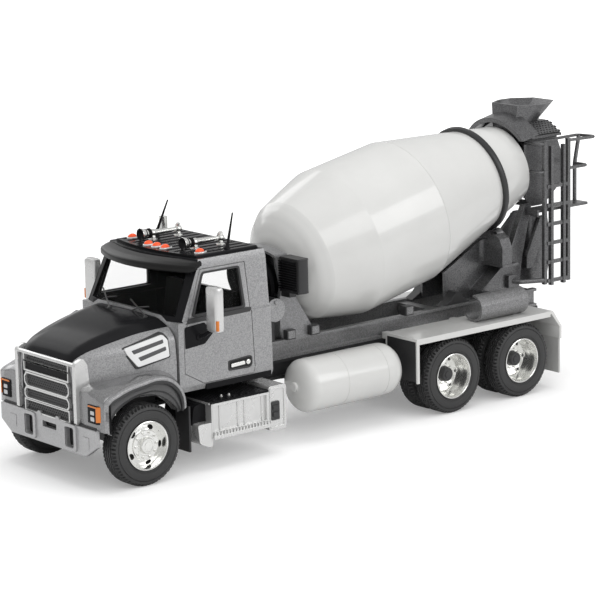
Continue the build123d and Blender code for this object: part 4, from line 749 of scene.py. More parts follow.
@dataclass
class Wheels:
    """All the wheels: front discs with hand holes, dished drive wheels and their tyres."""

    shop: Workshop
    front_x: float = 18.2
    front_w: float = 5.9
    dual_x: tuple[float, float] = (12.0, 18.5)
    dual_w: float = 5.6
    face: tuple[tuple[float, float], ...] = (
        (-0.45, 6.38), (-0.12, 6.3), (-0.05, 6.1), (-0.2, 5.92), (-0.75, 5.78), (-1.4, 5.7), (-1.85, 5.5))
    hub: tuple[tuple[float, float], ...] = (
        (-1.45, 3.95), (-1.12, 3.85), (-1.08, 3.7), (-1.08, 2.75), (-0.95, 2.6), (-0.95, 2.2), (-0.2, 2.05),
        (0.05, 1.85), (0.1, 1.5), (-0.1, 1.35), (-0.1, 1.1), (0.05, 1.0), (0.12, 0.5), (0.15, 0.0))
    back: tuple[tuple[float, float], ...] = (
        (-2.4, 0.0), (-2.6, 3.6), (-2.7, 5.2), (-5.0, 5.5), (-5.0, 6.38), (-0.45, 6.38))
    drive_face: tuple[tuple[float, float], ...] = (
        (-0.5, 6.38), (-0.15, 6.3), (-0.06, 6.12), (-0.2, 5.95), (-0.8, 5.8), (-1.3, 5.62), (-3.2, 5.5), (-4.2, 5.15),
        (-4.65, 4.9))
    drive_dish: tuple[tuple[float, float], ...] = ((-4.6, 3.7), (-4.55, 3.2), (-4.5, 2.8), (-4.5, 2.2))
    drive_hub: tuple[tuple[float, float], ...] = (
        (-4.5, 2.2), (-4.4, 2.05), (-2.9, 1.95), (-2.65, 1.75), (-2.65, 1.1), (-2.4, 1.0), (-2.35, 0.0))
    drive_back: tuple[tuple[float, float], ...] = (
        (-5.4, 0.0), (-5.6, 5.0), (-11.1, 5.4), (-11.1, 6.38), (-0.5, 6.38))

    def build(self) -> None:
        """Make every tyre and wheel."""
        for name, flip in (("left_front_tyre", 1), ("right_front_tyre", -1)):
            skin = Skin()
            Tyre().add_to(skin, self.front_x, self.front_w, 0.0)
            skin.points = [part * (flip, 1, 1) for part in skin.points]
            self.shop.piece(name + "_tread", skin, [TYRE], Body.FRONT_AXLE, "tyre_rubber", [name], angle=28)
        self._front()
        for number, body in ((1, Body.DRIVE_1), (2, Body.DRIVE_2)):
            skin = Skin()
            for x in self.dual_x:
                Tyre().add_to(skin, x, self.dual_w, AXLES[number - 1])
            self.shop.piece(f"drive_{number}_tyre_treads", skin.both_sides(), [TYRE], body, "tyre_rubber",
                            [f"drive_{number}_tyres"], angle=28)
            self._drive(number, body)

    def _web(self, skin: Skin, y: float, outer: tuple[float, float], inner: tuple[float, float],
             first: float, count: int, hole: tuple[float, float], deep: float) -> None:
        """Add the punched ring between two circles of a wheel: cells in angle and radius, one hole each, whose floor
        takes the second finish as painted shade.

        Args:
            skin: Surface to add to.
            y: Axle.
            outer: Run and radius of the outer circle.
            inner: Run and radius of the inner circle.
            first: Angle of the first hole, in degrees up from the rear.
            count: Number of holes.
            hole: Half size of a hole, along the circle and across it, in mm.
            deep: Depth of a hole.
        """
        mid, half = (outer[1] + inner[1]) / 2, (outer[1] - inner[1]) / 2
        part = math.pi / count

        def lay(u: np.ndarray, v: np.ndarray, d: np.ndarray) -> np.ndarray:
            """Angle and radius to a point, with the run between the circles' runs, less the depth.

            Args:
                u: Angles.
                v: Radii.
                d: Depths.

            Returns:
                The points.
            """
            share = (v - inner[1]) / (outer[1] - inner[1])
            run = inner[0] + (outer[0] - inner[0]) * share - d
            return np.stack([WHEEL_OUT + run, y + v * np.cos(u), TYRE_R + v * np.sin(u)], -1)

        centres = np.stack([math.radians(first) + 2 * part * np.arange(count), np.full(count, mid)], 1)
        # the holes' floors take finish 1, a dark sheet of painted shade
        skin.punched(centres, (part, half), (hole[0] / mid, hole[1]), deep, lay, (0, 1), 48)

    def _nuts(self, skin: Skin, y: float, run: float, radius: float, count: int, size: float, high: float) -> None:
        """Add a ring of hexagonal wheel nuts with domed ends.

        Args:
            skin: Surface to add to.
            y: Axle.
            run: Run of the face that they stand on.
            radius: Radius of their circle.
            count: Number of nuts.
            size: A nut's half width over its corners.
            high: A nut's height.
        """
        hexagon = np.arange(6) * math.pi / 3
        for angle in np.arange(count) * 2 * math.pi / count:
            cy, cz = y + radius * math.cos(angle), TYRE_R + radius * math.sin(angle)
            ring = np.stack([cy + size * np.cos(hexagon), cz + size * np.sin(hexagon)], 1)
            low, top = Skin.lay(ring, "x", WHEEL_OUT + run), Skin.lay(ring, "x", WHEEL_OUT + run + high)
            tip = Skin.lay((ring - (cy, cz)) * 0.6 + (cy, cz), "x", WHEEL_OUT + run + high * 1.35)
            skin.grid(np.stack([low, top, tip]), 0, around=True)
            skin.cap(tip[::-1])

    def _front(self) -> None:
        """Make the front wheels and their rod."""
        skin = Skin()
        centre = (WHEEL_OUT, 0.0, TYRE_R)
        skin.lathe(self.face, centre, (1, 0, 0), 96)
        self._web(skin, 0.0, self.face[-1], self.hub[0], 66.0, 5, (0.9, 0.62), 0.8)
        skin.lathe(self.hub, centre, (1, 0, 0), 96)
        # painted shade: the wheel's back takes the near-black second finish
        skin.lathe(self.back, centre, (1, 0, 0), 96, 1)
        self._nuts(skin, 0.0, -1.1, 3.25, 10, 0.3, 0.45)
        skin.both_sides()
        # painted shade: the rod takes the near-black second finish
        skin.tube(np.array([(-22.0, 0, TYRE_R), (0, 0, TYRE_R), (22.0, 0, TYRE_R)]), 1.0, 20, 1)
        self.shop.piece("front_wheel_discs", skin, [CHROME, SHADE_BLACK], Body.FRONT_AXLE, "bright_chrome", ["front_wheels"])

    def _drive(self, number: int, body: Body) -> None:
        """Make one drive axle's wheels and rod.

        Args:
            number: 1 or 2, counted from the front.
            body: The body it rides on.
        """
        skin = Skin()
        y = AXLES[number - 1]
        centre = (WHEEL_OUT, y, TYRE_R)
        skin.lathe(self.drive_face, centre, (1, 0, 0), 96)
        self._web(skin, y, self.drive_face[-1], self.drive_dish[0], 2.0, 6, (0.5, 0.42), 0.5)
        skin.lathe(self.drive_dish, centre, (1, 0, 0), 64)
        skin.lathe(self.drive_hub, centre, (1, 0, 0), 64, 1)
        skin.lathe(self.drive_back, centre, (1, 0, 0), 96, 1)
        for angle in np.radians(2.0 + 60 * np.arange(6)):
            spot = (WHEEL_OUT - 4.65, y + 4.3 * math.cos(angle), TYRE_R + 4.3 * math.sin(angle))
            skin.lathe([(0, 0.72), (0.3, 0.66), (0.36, 0.56), (0.3, 0.5), (-0.2, 0.5)], spot, (1, 0, 0), 20)
        self._nuts(skin, y, -4.55, 2.9, 10, 0.26, 0.4)
        skin.both_sides()
        skin.tube(np.array([(-20.0, y, TYRE_R), (0, y, TYRE_R), (20.0, y, TYRE_R)]), 1.0, 20, 1)
        self.shop.piece(f"drive_{number}_wheel_discs", skin, [CHROME, PLASTIC], body, "bright_chrome",
                        [f"drive_{number}_wheels"])


# ---- hood and nose -----------------------------------------------------------------------------


@dataclass
class Bonnet:
    """The tilting hood: a domed bonnet in two colours, swept fenders, flares, grille and lamps."""

    shop: Workshop
    knots: tuple[float, ...] = (-13.4, -12.7, -10.6, -6.4, -1.9, 4.0, 8.0, 12.3)
    # half widths and heights from the middle out: top, dome crease, dome foot, paint line, side, crease, foot
    lines: tuple[tuple[tuple[float, float], ...], ...] = (
        ((0, 32.0), (8.2, 31.8), (9.5, 31.6), (11.0, 31.1), (11.6, 29.8), (11.9, 27.9), (11.9, 22.0)),
        ((0, 33.0), (8.2, 32.8), (9.6, 32.6), (11.4, 32.0), (12.0, 30.4), (12.3, 28.2), (12.3, 22.0)),
        ((0, 34.4), (8.5, 34.3), (10.2, 33.9), (12.3, 33.4), (12.9, 31.6), (13.1, 28.8), (13.1, 22.0)),
        ((0, 36.2), (9.0, 36.1), (11.2, 35.5), (13.7, 34.8), (14.8, 33.0), (15.1, 29.4), (15.1, 22.0)),
        ((0, 37.6), (9.7, 37.4), (12.1, 36.6), (14.8, 35.9), (16.4, 34.0), (16.9, 29.7), (16.9, 22.0)),
        ((0, 38.9), (10.7, 38.7), (13.1, 37.9), (15.9, 37.0), (18.0, 34.9), (18.6, 29.9), (18.6, 22.0)),
        ((0, 39.6), (11.5, 39.3), (14.1, 38.4), (16.9, 37.5), (19.0, 35.3), (19.6, 30.1), (19.6, 22.0)),
        ((0, 39.9), (12.6, 39.7), (15.2, 38.8), (17.6, 37.8), (19.9, 35.6), (20.4, 30.2), (20.4, 22.0)))
    theta: tuple[float, ...] = (157, 152.7, 144, 137, 132, 120, 106, 92, 78, 66, 50, 40, 33)
    top: tuple[float, ...] = (14.2, 15.0, 17.0, 19.2, 19.6, 18.6, 17.2, 17.1, 17.8, 19.2, 19.4, 18.2, 16.5)
    lip: tuple[float, ...] = (12.8, 13.5, 15.3, 16.7, 16.95, 16.3, 15.8, 15.7, 16.5, 16.9, 16.2, 15.0, 13.8)
    wall: float = 0.8
    nose: float = -13.05         # foremost face of the fenders
    nose_inside: float = -12.4
    fender_end: float = 12.3     # aft end of the fenders, at the door
    arch: float = 12.5           # radius of the wheel arch

    def build(self) -> None:
        """Make everything that tilts with the hood."""
        self._panels()
        self._fenders()
        self._beads()
        self._grille()
        self._lamps()
        self._vents()

    def _shell(self, inset: float) -> np.ndarray:
        """The bonnet's points: rounded cross-sections at smooth stations, drawn in by an inset.

        Args:
            inset: How far inside the outer face, in mm.

        Returns:
            Array of stations by points by 3.
        """
        at = np.linspace(self.knots[0], self.knots[-1], 30)
        rows = stations(self.knots, np.asarray(self.lines), at)
        rows = rows - np.array([inset, inset * 0.8])
        rows[:, 0, 0] = 0.0
        right = rounded(rows, 1.3, 4, closed=False)
        left = right[:, ::-1] * (-1, 1)
        full = np.concatenate([left, right], 1)
        ys = np.broadcast_to(at[:, None], full.shape[:2])
        return np.stack([full[..., 0], ys, full[..., 1]], -1)

    def _panels(self) -> None:
        """Make the bonnet with its wall, black over the top and silver down the sides."""
        skin = Skin()
        outer, inner = self._shell(0.0), self._shell(self.wall)
        columns = outer.shape[1]
        cut = 3 * 5 + 2
        low, high = columns // 2 - cut, columns // 2 + cut
        skin.grid(outer[:, :low + 1], 0)
        skin.grid(outer[:, low:high], 1)
        skin.grid(outer[:, high - 1:], 0)
        skin.grid(inner[:, ::-1], 2)
        edge = [np.stack([outer[k], inner[k]]) for k in (0, -1)]
        skin.grid(edge[0], 0)
        skin.grid(edge[1][::-1], 0)
        for k in (0, -1):
            skin.grid(np.stack([outer[:, k], inner[:, k]]), 0)
        self.shop.piece("hood_panels", skin, [SILVER, BLACK, CHASSIS], Body.HOOD, "cab_silver", ["hood"])

    def _sweep(self, rows: Sequence[tuple[float, Callable[[np.ndarray, np.ndarray], np.ndarray]]], front: float,
               inset: float = 0.0) -> np.ndarray:
        """Carry cross-section points round the wheel's centre, cut flat at the nose and at the door.

        Args:
            rows: An x for each point, and its radius as a function of the radii of the fender's top and lip.
            front: Foremost y.
            inset: Taken off every radius.

        Returns:
            Array of angles by rows by 3.
        """
        angle = np.linspace(self.theta[0], self.theta[-1], 90)
        order = np.argsort(self.theta)
        knots = np.asarray(self.theta)[order]
        top = stations(knots, np.asarray(self.top)[order], angle)
        lip = stations(knots, np.asarray(self.lip)[order], angle)
        net = []
        for x, radius in rows:
            r = radius(top, lip) - inset
            y, z = r * np.cos(np.radians(angle)), TYRE_R + r * np.sin(np.radians(angle))
            xs = np.full_like(y, x)
            y = np.maximum(y, front)
            y = np.where(xs > 21.6, np.maximum(y, front + (xs - 21.6) * 0.5), y)
            net.append(np.stack([xs, np.minimum(y, self.fender_end), z], -1))
        return np.stack(net, 1)

    def _fenders(self) -> None:
        """Make the painted fenders with their raised lip, and the flares beneath."""
        skin = Skin()
        rows = [
            (12.2, lambda t, l: t - 0.6), (15.0, lambda t, l: t), (17.6, lambda t, l: t + 0.1),
            (20.4, lambda t, l: np.maximum(0.55 * t + 0.45 * (l + 1.5), l + 1.1)),
            (22.5, lambda t, l: np.maximum(0.15 * t + 0.85 * (l + 1.0), l + 0.7)),
            (22.95, lambda t, l: l + 0.55), (23.1, lambda t, l: l + 0.95), (23.9, lambda t, l: l + 0.9),
            (24.25, lambda t, l: l + 0.65), (24.25, lambda t, l: l + 0.1), (24.05, lambda t, l: l - 0.1),
            (23.2, lambda t, l: l - 0.1), (22.8, lambda t, l: l - 0.9)]
        net = rounded(self._sweep(rows, self.nose), 0.3, 3, closed=False)
        inner = rounded(self._sweep(rows, self.nose_inside, self.wall), 0.3, 3, closed=False)
        edge = net.shape[1] * 6 // len(rows)
        skin.grid(net[:, :edge + 1], 0)
        skin.grid(net[:, edge:], 2)
        skin.grid(inner[:, ::-1], 1)
        for k in (0, -1):
            skin.grid(np.stack([net[k], inner[k]]), 0)
        self.shop.piece("fender_panels", skin.both_sides(), [FENDER, CHASSIS, SILVER], Body.HOOD, "cab_silver",
                        outward=False)
        flare = Skin()
        arch = self.arch
        rows = [(23.2, lambda t, l: l + 0.1), (23.3, lambda t, l: l - 0.3),
                (23.75, lambda t, l: 0.4 * l + 0.6 * arch), (23.0, lambda t, l: 0.32 * l + 0.68 * arch - 0.1),
                (22.6, lambda t, l: 0 * l + arch + 0.1), (19.6, lambda t, l: 0 * l + arch + 0.15)]
        flare.grid(rounded(self._sweep(rows, self.nose), 0.4, 3, closed=False), 0)
        self.shop.piece("flare_panels", flare.both_sides(), [FLARE], Body.HOOD, "black_plastic", ["fender_flares"],
                        outward=False)

    def _beads(self) -> None:
        """Run a raised bead along the valley where the fender meets the bonnet's side."""
        way = np.array([(13.4, -12.6, 24.6), (14.4, -8.6, 25.8), (15.6, -4.2, 26.75), (16.6, 0.2, 27.65),
                        (17.6, 4.4, 28.35), (18.3, 7.0, 28.45), (18.8, 9.2, 27.5), (19.2, 11.9, 25.9)])
        run = stations(np.arange(8.0), way, np.linspace(0, 7, 40))
        skin = Skin()
        skin.tube(run, 0.34, 8)
        self.shop.piece("fender_beads", skin.both_sides(), [SILVER], Body.HOOD, "cab_silver")

    def _grille(self) -> None:
        """Make the bright surround with its cheeks, and the framed mesh windows behind it."""
        skin = Skin()
        cheek = rounded([(-14.0, 16.4), (-13.0, 16.4), (-12.9, 22.2), (-9.7, 25.7), (-10.2, 31.2), (-11.4, 33.0),
                         (-13.2, 32.4), (-14.0, 31.6)], 0.4, 3)
        skin.prism(cheek[::-1], "x", 12.2, 13.5)
        skin.both_sides()
        top = rounded([(-14.0, 31.0), (-13.0, 31.0), (-12.9, 31.7), (-13.3, 31.9), (-13.9, 31.6)], 0.15, 3)
        skin.prism(top[::-1], "x", -12.4, 12.4)
        self.shop.piece("grille_frame", skin, [SATIN], Body.HOOD, "bumper_silver", ["grille_surround"], bevel=0.18)
        panel = Skin()
        panel.box((-12.3, 12.3), (-13.0, -12.4), (16.3, 31.6), 0)
        windows = ((29.3, 30.9, 9.6, 0), (26.9, 28.9, 9.6, 0), (22.8, 25.9, 9.6, 1), (19.6, 22.0, 9.6, 1),
                   (16.4, 18.9, 9.6, 0))
        for number, (z0, z1, half, chamfered) in enumerate(windows):
            cut = (z1 - z0) * 0.3 if chamfered else 0.12
            inner = [(-half + cut, z0), (half - cut, z0), (half, z0 + cut), (half, z1 - cut), (half - cut, z1),
                     (-half + cut, z1), (-half, z1 - cut), (-half, z0 + cut)]
            grow = 0.42
            middle = (z0 + z1) / 2
            outer = [(x * (half + grow) / half, middle + (z - middle) * ((z1 - z0) / 2 + grow) / ((z1 - z0) / 2))
                     for x, z in inner]
            panel.ring_plate(outer, inner, "y", -13.0, -13.75, 1)
            if number == 1:
                panel.box((-half + 0.1, half - 0.1), (-13.35, -13.0), (z0 + 0.1, z1 - 0.1), 2)
                continue
            centres = staggered(2 * half - 0.5, z1 - z0 - 0.1, (0.9, 0.62)) + (0, middle)
            # the holes' floors take the last finish, near-black painted shade
            panel.punched(centres, (0.45, 0.31), (0.3, 0.2), 0.3,
                          lambda u, v, d: np.stack([u, -13.15 + d, v], -1), (3, 4), 8)
        self.shop.piece("grille_windows", panel, [GUNMETAL, SATIN, BLACK, PLASTIC, SHADE_BLACK], Body.HOOD, "black_plastic",
                        ["grille_mesh"], bevel=0.0, outward=False)

    def _lamps(self) -> None:
        """Make the headlamps: a black housing round the corner, an amber strip and two lamp squares."""
        skin = Skin()
        plan = rounded([(17.2, -12.4), (17.2, -13.35), (21.2, -13.35), (22.9, -11.6), (22.3, -11.0)], 0.35, 3)
        skin.prism(plan[::-1], "z", 17.8, 22.45, 0)
        skin.prism(rounded([(17.5, 21.9), (21.6, 21.9), (21.6, 22.3), (17.8, 22.3)], 0.12, 2), "y", -13.5, -13.2, 1)
        skin.prism(rounded([(21.0, -13.55), (21.35, -13.55), (22.1, -12.75), (21.9, -12.4), (21.2, -13.2)],
                           0.1, 2)[::-1], "z", 18.4, 22.3, 1)
        for z0, z1 in ((18.4, 19.5), (20.0, 21.0)):
            skin.prism(rounded([(18.6, z0), (20.2, z0), (20.2, z1), (18.6, z1)], 0.2, 2), "y", -13.45, -13.2, 2)
        self.shop.piece("headlamp_units", skin.both_sides(), [BLACK, AMBER, LAMP], Body.HOOD, "lamp_lens",
                        ["headlamps"], bevel=0.08)

    def _vents(self) -> None:
        """Make the vent plate on each side of the bonnet, with two long slots."""
        corners = np.array([(16.4, -1.2, 34.3), (18.0, 9.0, 36.8), (19.8, 10.1, 35.4), (20.3, 9.9, 31.3),
                            (18.0, 1.5, 29.5), (16.7, -0.65, 32.8)])
        plane = np.linalg.lstsq(np.c_[corners[:, 1:], np.ones(6)], corners[:, 0], rcond=None)[0]
        skin = Skin()

        def side(points: np.ndarray, out: float) -> np.ndarray:
            """Stand a (y, z) outline on the plane through the plate's corners."""
            return np.stack([points @ plane[:2] + plane[2] + out, points[:, 0], points[:, 1]], -1)

        middle = corners[:, 1:].mean(axis=0)
        flat = rounded(corners[:, 1:], 0.45, 3)
        bed = rounded((corners[:, 1:] - middle) * (1.08, 1.16) + middle, 0.5, 3)
        for line, low, high, slot in ((bed, -1.8, 0.2, 1), (flat, 0.0, 0.6, 0)):
            skin.grid(np.stack([side(line, low), side(line, high)]), slot, around=True)
            skin.cap(side(line, high), slot)
        for start, end in (((1.0, 32.7), (8.9, 34.7)), ((2.4, 30.9), (9.3, 32.9))):
            line = rounded([start, end, (end[0], end[1] + 0.95), (start[0] - 0.5, start[1] + 0.95)], 0.15, 2)
            skin.grid(np.stack([side(line, 0.3), side(line, 0.66)]), 2, around=True)
            skin.cap(side(line, 0.66), 2)
        self.shop.piece("hood_vent_plates", skin.both_sides(), [VENT, CHASSIS, GUNMETAL], Body.HOOD, "bright_chrome",
                        bevel=0.08)


# ---- bumper ------------------------------------------------------------------------------------


@dataclass
class Bumper:
    """The front bumper: a chamfered plate with two framed tow openings and a centre slot."""

    shop: Workshop
    half: float = 21.2
    face_y: float = -14.3
    tow_x: tuple[float, float] = (-8.0, 10.1)

    def build(self) -> None:
        """Make the bumper with its openings cut through, each an x, a height, two half sizes and a corner."""
        base, high, end = 8.9, 16.2, 11.8
        skin = Skin()
        outline = [(-self.half, high), (-self.half, end), (-16.6, base), (16.6, base), (self.half, end),
                   (self.half, high), (5.6, high), (4.9, 17.0), (3.9, 17.0), (3.4, 16.0), (-2.6, 16.0),
                   (-3.1, 17.0), (-4.1, 17.0), (-4.8, high)]
        skin.prism(rounded(outline, 0.35, 3)[::-1], "y", self.face_y + 0.4, self.face_y + 1.7)
        obj = self.shop.piece("bumper_form", skin, [BUMPER, SHADE_BLACK], Body.TRUCK, "bumper_silver", ["front_bumper"],
                              bevel=0.0)
        openings = [(x, 12.7, 1.85, 2.55, 0.7) for x in self.tow_x] + [(0.9, 14.0, 3.1, 0.75, 0.2)]
        for number, (x, z, hw, hh, corner) in enumerate(openings):
            tool = Skin()
            line = rounded([(x - hw, z - hh), (x + hw, z - hh), (x + hw, z + hh), (x - hw, z + hh)], corner, 4)
            tool.prism(line[::-1], "y", self.face_y - 1, self.face_y + 3)
            helper = bpy.data.objects.new(f"cutter_{number}", self.shop.mesh("cutter", tool))
            bpy.context.collection.objects.link(helper)
            cut = obj.modifiers.new("opening", "BOOLEAN")
            cut.operation, cut.solver, cut.object = "DIFFERENCE", "EXACT", helper
        self._apply(obj)
        rounding = obj.modifiers.new("edges", "BEVEL")
        rounding.width, rounding.segments = 0.2 * MM, 2
        rounding.limit_method, rounding.angle_limit = "ANGLE", math.radians(35)
        self._frames()

    @staticmethod
    def _apply(obj: bpy.types.Object) -> None:
        """Apply the cuts and remove their tools.

        Args:
            obj: The object with the cuts as its modifiers.
        """
        graph = bpy.context.evaluated_depsgraph_get()
        done = bpy.data.meshes.new_from_object(obj.evaluated_get(graph))
        tools = [m.object for m in obj.modifiers if m.type == "BOOLEAN"]
        obj.modifiers.clear()
        obj.data = done
        for tool in tools:
            bpy.data.objects.remove(tool)

    def _frames(self) -> None:
        """Make the raised frames, the dark backing, the steps and the brackets."""
        skin = Skin()
        for x in self.tow_x:
            inner = rounded([(x - 1.9, 10.1), (x + 1.9, 10.1), (x + 1.9, 15.3), (x - 1.9, 15.3)], 0.7, 4)
            outer = rounded([(x - 2.9, 9.3), (x + 2.9, 9.3), (x + 2.9, 16.2), (x - 2.9, 16.2)], 1.0, 4)
            skin.ring_plate(outer, inner, "y", self.face_y + 1.2, self.face_y, 0)
        skin.box((-18.0, 18.0), (self.face_y + 1.9, self.face_y + 2.3), (10.0, 15.6), 1)
        for x in (-15.4, 17.0):
            skin.box((x - 1.5, x + 1.3), (self.face_y + 0.2, self.face_y + 0.6), (10.9, 14.0), 0)
        skin.box((-20.5, 20.5), (self.face_y + 0.9, self.face_y + 1.7), (16.1, 16.7), 1)
        self.shop.piece("bumper_frames", skin, [BUMPER, CHASSIS], Body.TRUCK, "bumper_silver", bevel=0.12)


# ---- cab -----------------------------------------------------------------------------------------


@dataclass
class Cab:
    """The cab: two-colour shell and doors, ribbed roof, trim, mirrors, horns and lamps."""

    MIDDLE: ClassVar[np.ndarray] = np.array([0.0, 28.0, 38.0])
    SKIN_X: ClassVar[float] = 20.3    # half width inside the cab's outer skin
    shop: Workshop
    markers: tuple[tuple[float, float], ...] = ((-14.6, 25.2), (-3.6, 22.4), (0, 22.4), (3.6, 22.4), (14.6, 25.2))

    def build(self) -> None:
        """Make the cab's pieces."""
        self.shop.carry("cab_shell", [SILVER, BLACK, TRIM], Body.TRUCK, "cab_silver", 0.3, self._shell_paint)
        for node in ("left_door", "right_door"):
            self.shop.carry(node, [SILVER, TRIM], Body.TRUCK, "cab_silver", 0.2, self._door_paint)
        self._roof()
        self._window_frames()
        self._handles()
        self._mirrors()
        self._horns()
        self._markers()
        self._wipers()

    @staticmethod
    def _inside(place: np.ndarray, normal: np.ndarray) -> np.ndarray:
        """Whether each face lies within the outer skin and looks towards the cab's middle."""
        return (np.abs(place[:, 0]) < Cab.SKIN_X) & (((Cab.MIDDLE - place) * normal).sum(axis=1) > 0)

    @staticmethod
    def _shell_paint(place: np.ndarray, normal: np.ndarray) -> np.ndarray:
        """Black round the screen, on the roof and on the cowl; trim inside; silver elsewhere.

        Args:
            place: Face centres, in mm from the axle.
            normal: Face normals.

        Returns:
            Each face's finish number.
        """
        x, y, z = np.abs(place[:, 0]), place[:, 1], place[:, 2]
        screen = (normal[:, 1] < -0.45) & (z > 38.0)
        roof = (normal[:, 2] > 0.8) & (z > 52.0) & (x < 17.2)
        cowl = (normal[:, 2] > 0.5) & (y < 20.0) & (x < 18.6)
        return np.where(Cab._inside(place, normal), 2, np.where(screen | roof | cowl, 1, 0))

    @staticmethod
    def _door_paint(place: np.ndarray, normal: np.ndarray) -> np.ndarray:
        """Trim on the door's inner face, silver elsewhere."""
        return Cab._inside(place, normal).astype(int)

    def _roof(self) -> None:
        """Make the ribbed roof: a crowned plate whose height follows a row of lengthwise ridges."""
        skin = Skin()
        x = np.linspace(-17.5, 17.5, 176)
        y = np.linspace(19.4, 41.6, 30)
        xx, yy = np.meshgrid(x, y)
        front = 19.2 + 2.9 * (xx / 18.4) ** 2
        yy = front + (yy - y[0]) / (y[-1] - y[0]) * (41.6 - front)
        ridge = np.clip(np.abs(((xx + 18.0) / 3.0) % 1.0 - 0.5) * 9.0 - 2.6, 0, 1) * 0.35
        fade = np.clip((yy - front - 1.2) / 0.8, 0, 1) * np.clip((41.6 - yy - 0.6) / 0.8, 0, 1)
        edge = np.clip((17.5 - np.abs(xx)) / 0.7, 0, 1)
        net = np.stack([xx, yy, EAVE + 0.05 + 0.55 * edge ** 0.5 - ridge * fade * edge], -1)
        skin.grid(net, 0)
        for line in (net[0], net[-1]):
            skin.grid(np.stack([line, line * (1, 1, 0) + (0, 0, EAVE - 0.3)]), 0)
        self.shop.piece("roof_ribs", skin, [BLACK], Body.TRUCK, "gloss_black", ["cab_roof"], angle=50, outward=False)
        self._visor()

    def _visor(self) -> None:
        """Make the sun visor: a blade section carried along a plan that bows forward as a parabola."""
        skin = Skin()
        x = np.linspace(-20.3, 20.3, 49)
        front = 13.1 + 5.6 * (x / 20.3) ** 2
        section = np.array([(0.9, 51.3), (0.0, 51.1), (-0.35, 51.35), (-0.35, 52.5), (0.0, 52.95), (1.6, 53.6),
                            (3.6, 54.1), (3.9, 53.5), (1.2, 52.2)])
        line = rounded(section, 0.25, 3)
        ends = np.clip((20.3 - np.abs(x)) / 1.4, 0, 1)[:, None] ** 0.5
        middle = line.mean(axis=0)
        net = np.empty((len(x), len(line), 3))
        net[..., 0] = x[:, None]
        net[..., 1] = front[:, None] + middle[0] + (line[None, :, 0] - middle[0]) * (0.5 + 0.5 * ends)
        net[..., 2] = middle[1] + (line[None, :, 1] - middle[1]) * (0.45 + 0.55 * ends)
        skin.grid(net, 0, around=True)
        skin.cap(net[0], 0)
        skin.cap(net[-1][::-1], 0)
        self.shop.piece("visor_blade", skin, [VISOR], Body.TRUCK, "gloss_black", ["sun_visor"])

    def _window_frames(self) -> None:
        """Make the dark rubber round each side window, the sill strip and the screen's edge."""
        skin = Skin()
        lean = 0.094

        def frame(points: np.ndarray, out: float) -> np.ndarray:
            """Stand a (y, z) outline on the door, which leans in over the waist."""
            y, z = points[:, 0], points[:, 1]
            return np.stack([20.85 - lean * np.maximum(z - 39.5, 0) + out, y, z], -1)

        opening = np.array([(17.7, 40.4), (21.7, 50.9), (33.3, 50.9), (34.1, 40.4)])
        inner = rounded(opening + [(0.4, 0.25), (0.15, -0.3), (-0.3, -0.3), (-0.45, 0.25)], 0.6, 4)
        outer = rounded(opening + [(-0.35, -0.25), (-0.25, 0.25), (0.25, 0.25), (0.4, -0.25)], 0.8, 4)
        rows = [frame(outer, -0.5), frame(outer, 0.1), frame(inner, 0.1), frame(inner, -0.6)]
        skin.grid(np.stack(rows), 0, around=True)
        sill = rounded([(14.8, 38.6), (35.9, 38.9), (36.3, 40.0), (34.6, 40.1), (16.6, 39.9)], 0.3, 2)
        skin.grid(np.stack([frame(sill, -0.3), frame(sill, 0.18)]), 0, around=True)
        skin.cap(frame(sill, 0.18), 0)
        patch = rounded([(14.6, 37.9), (14.7, 32.3), (20.9, 32.8), (23.7, 35.3), (20.9, 38.4)], 0.4, 3)
        skin.grid(np.stack([frame(patch, -0.3), frame(patch, 0.25)]), 1, around=True)
        skin.cap(frame(patch, 0.25), 1)
        self.shop.piece("window_frames", skin.both_sides(), [PLASTIC, BLACK], Body.TRUCK, "black_plastic", bevel=0.06)

    def _handles(self) -> None:
        """Make the door handles, a bright bar and lock in a recess whose floor is painted shade inside a dark rim, and
        the sill strip below.
        """
        skin = Skin()
        rim = rounded([(28.2, 24.4), (28.2, 27.1), (35.4, 27.5), (36.1, 27.0), (36.1, 24.9), (35.2, 24.2)], 0.6, 4)
        hole = rounded([(28.6, 24.8), (28.6, 26.8), (35.2, 27.1), (35.7, 26.8), (35.7, 25.1), (35.0, 24.6)], 0.5, 4)
        skin.ring_plate(rim.tolist(), hole.tolist(), "x", 20.9, 21.15, 0)
        # the recess floor: near-black painted shade
        skin.prism(hole, "x", 20.9, 21.05, 1)
        grip = rounded([(29.0, 25.2), (29.0, 26.2), (33.4, 26.4), (33.6, 25.4)], 0.3, 4)
        skin.prism(grip, "x", 21.0, 21.4, 2)
        skin.lathe([(0, 0.75), (0.35, 0.72), (0.5, 0.5), (0.5, 0)], (21.0, 34.6, 25.9), (1, 0, 0), 20, 2)
        skin.prism(rounded([(21.0, 20.8), (42.3, 20.8), (42.3, 22.3), (21.0, 22.3)], 0.2, 2), "x", 20.3, 21.1, 3)
        self.shop.piece("door_handles", skin.both_sides(), [PLASTIC, SHADE_BLACK, CHROME, BLACK], Body.TRUCK, "bright_chrome",
                        bevel=0.1)

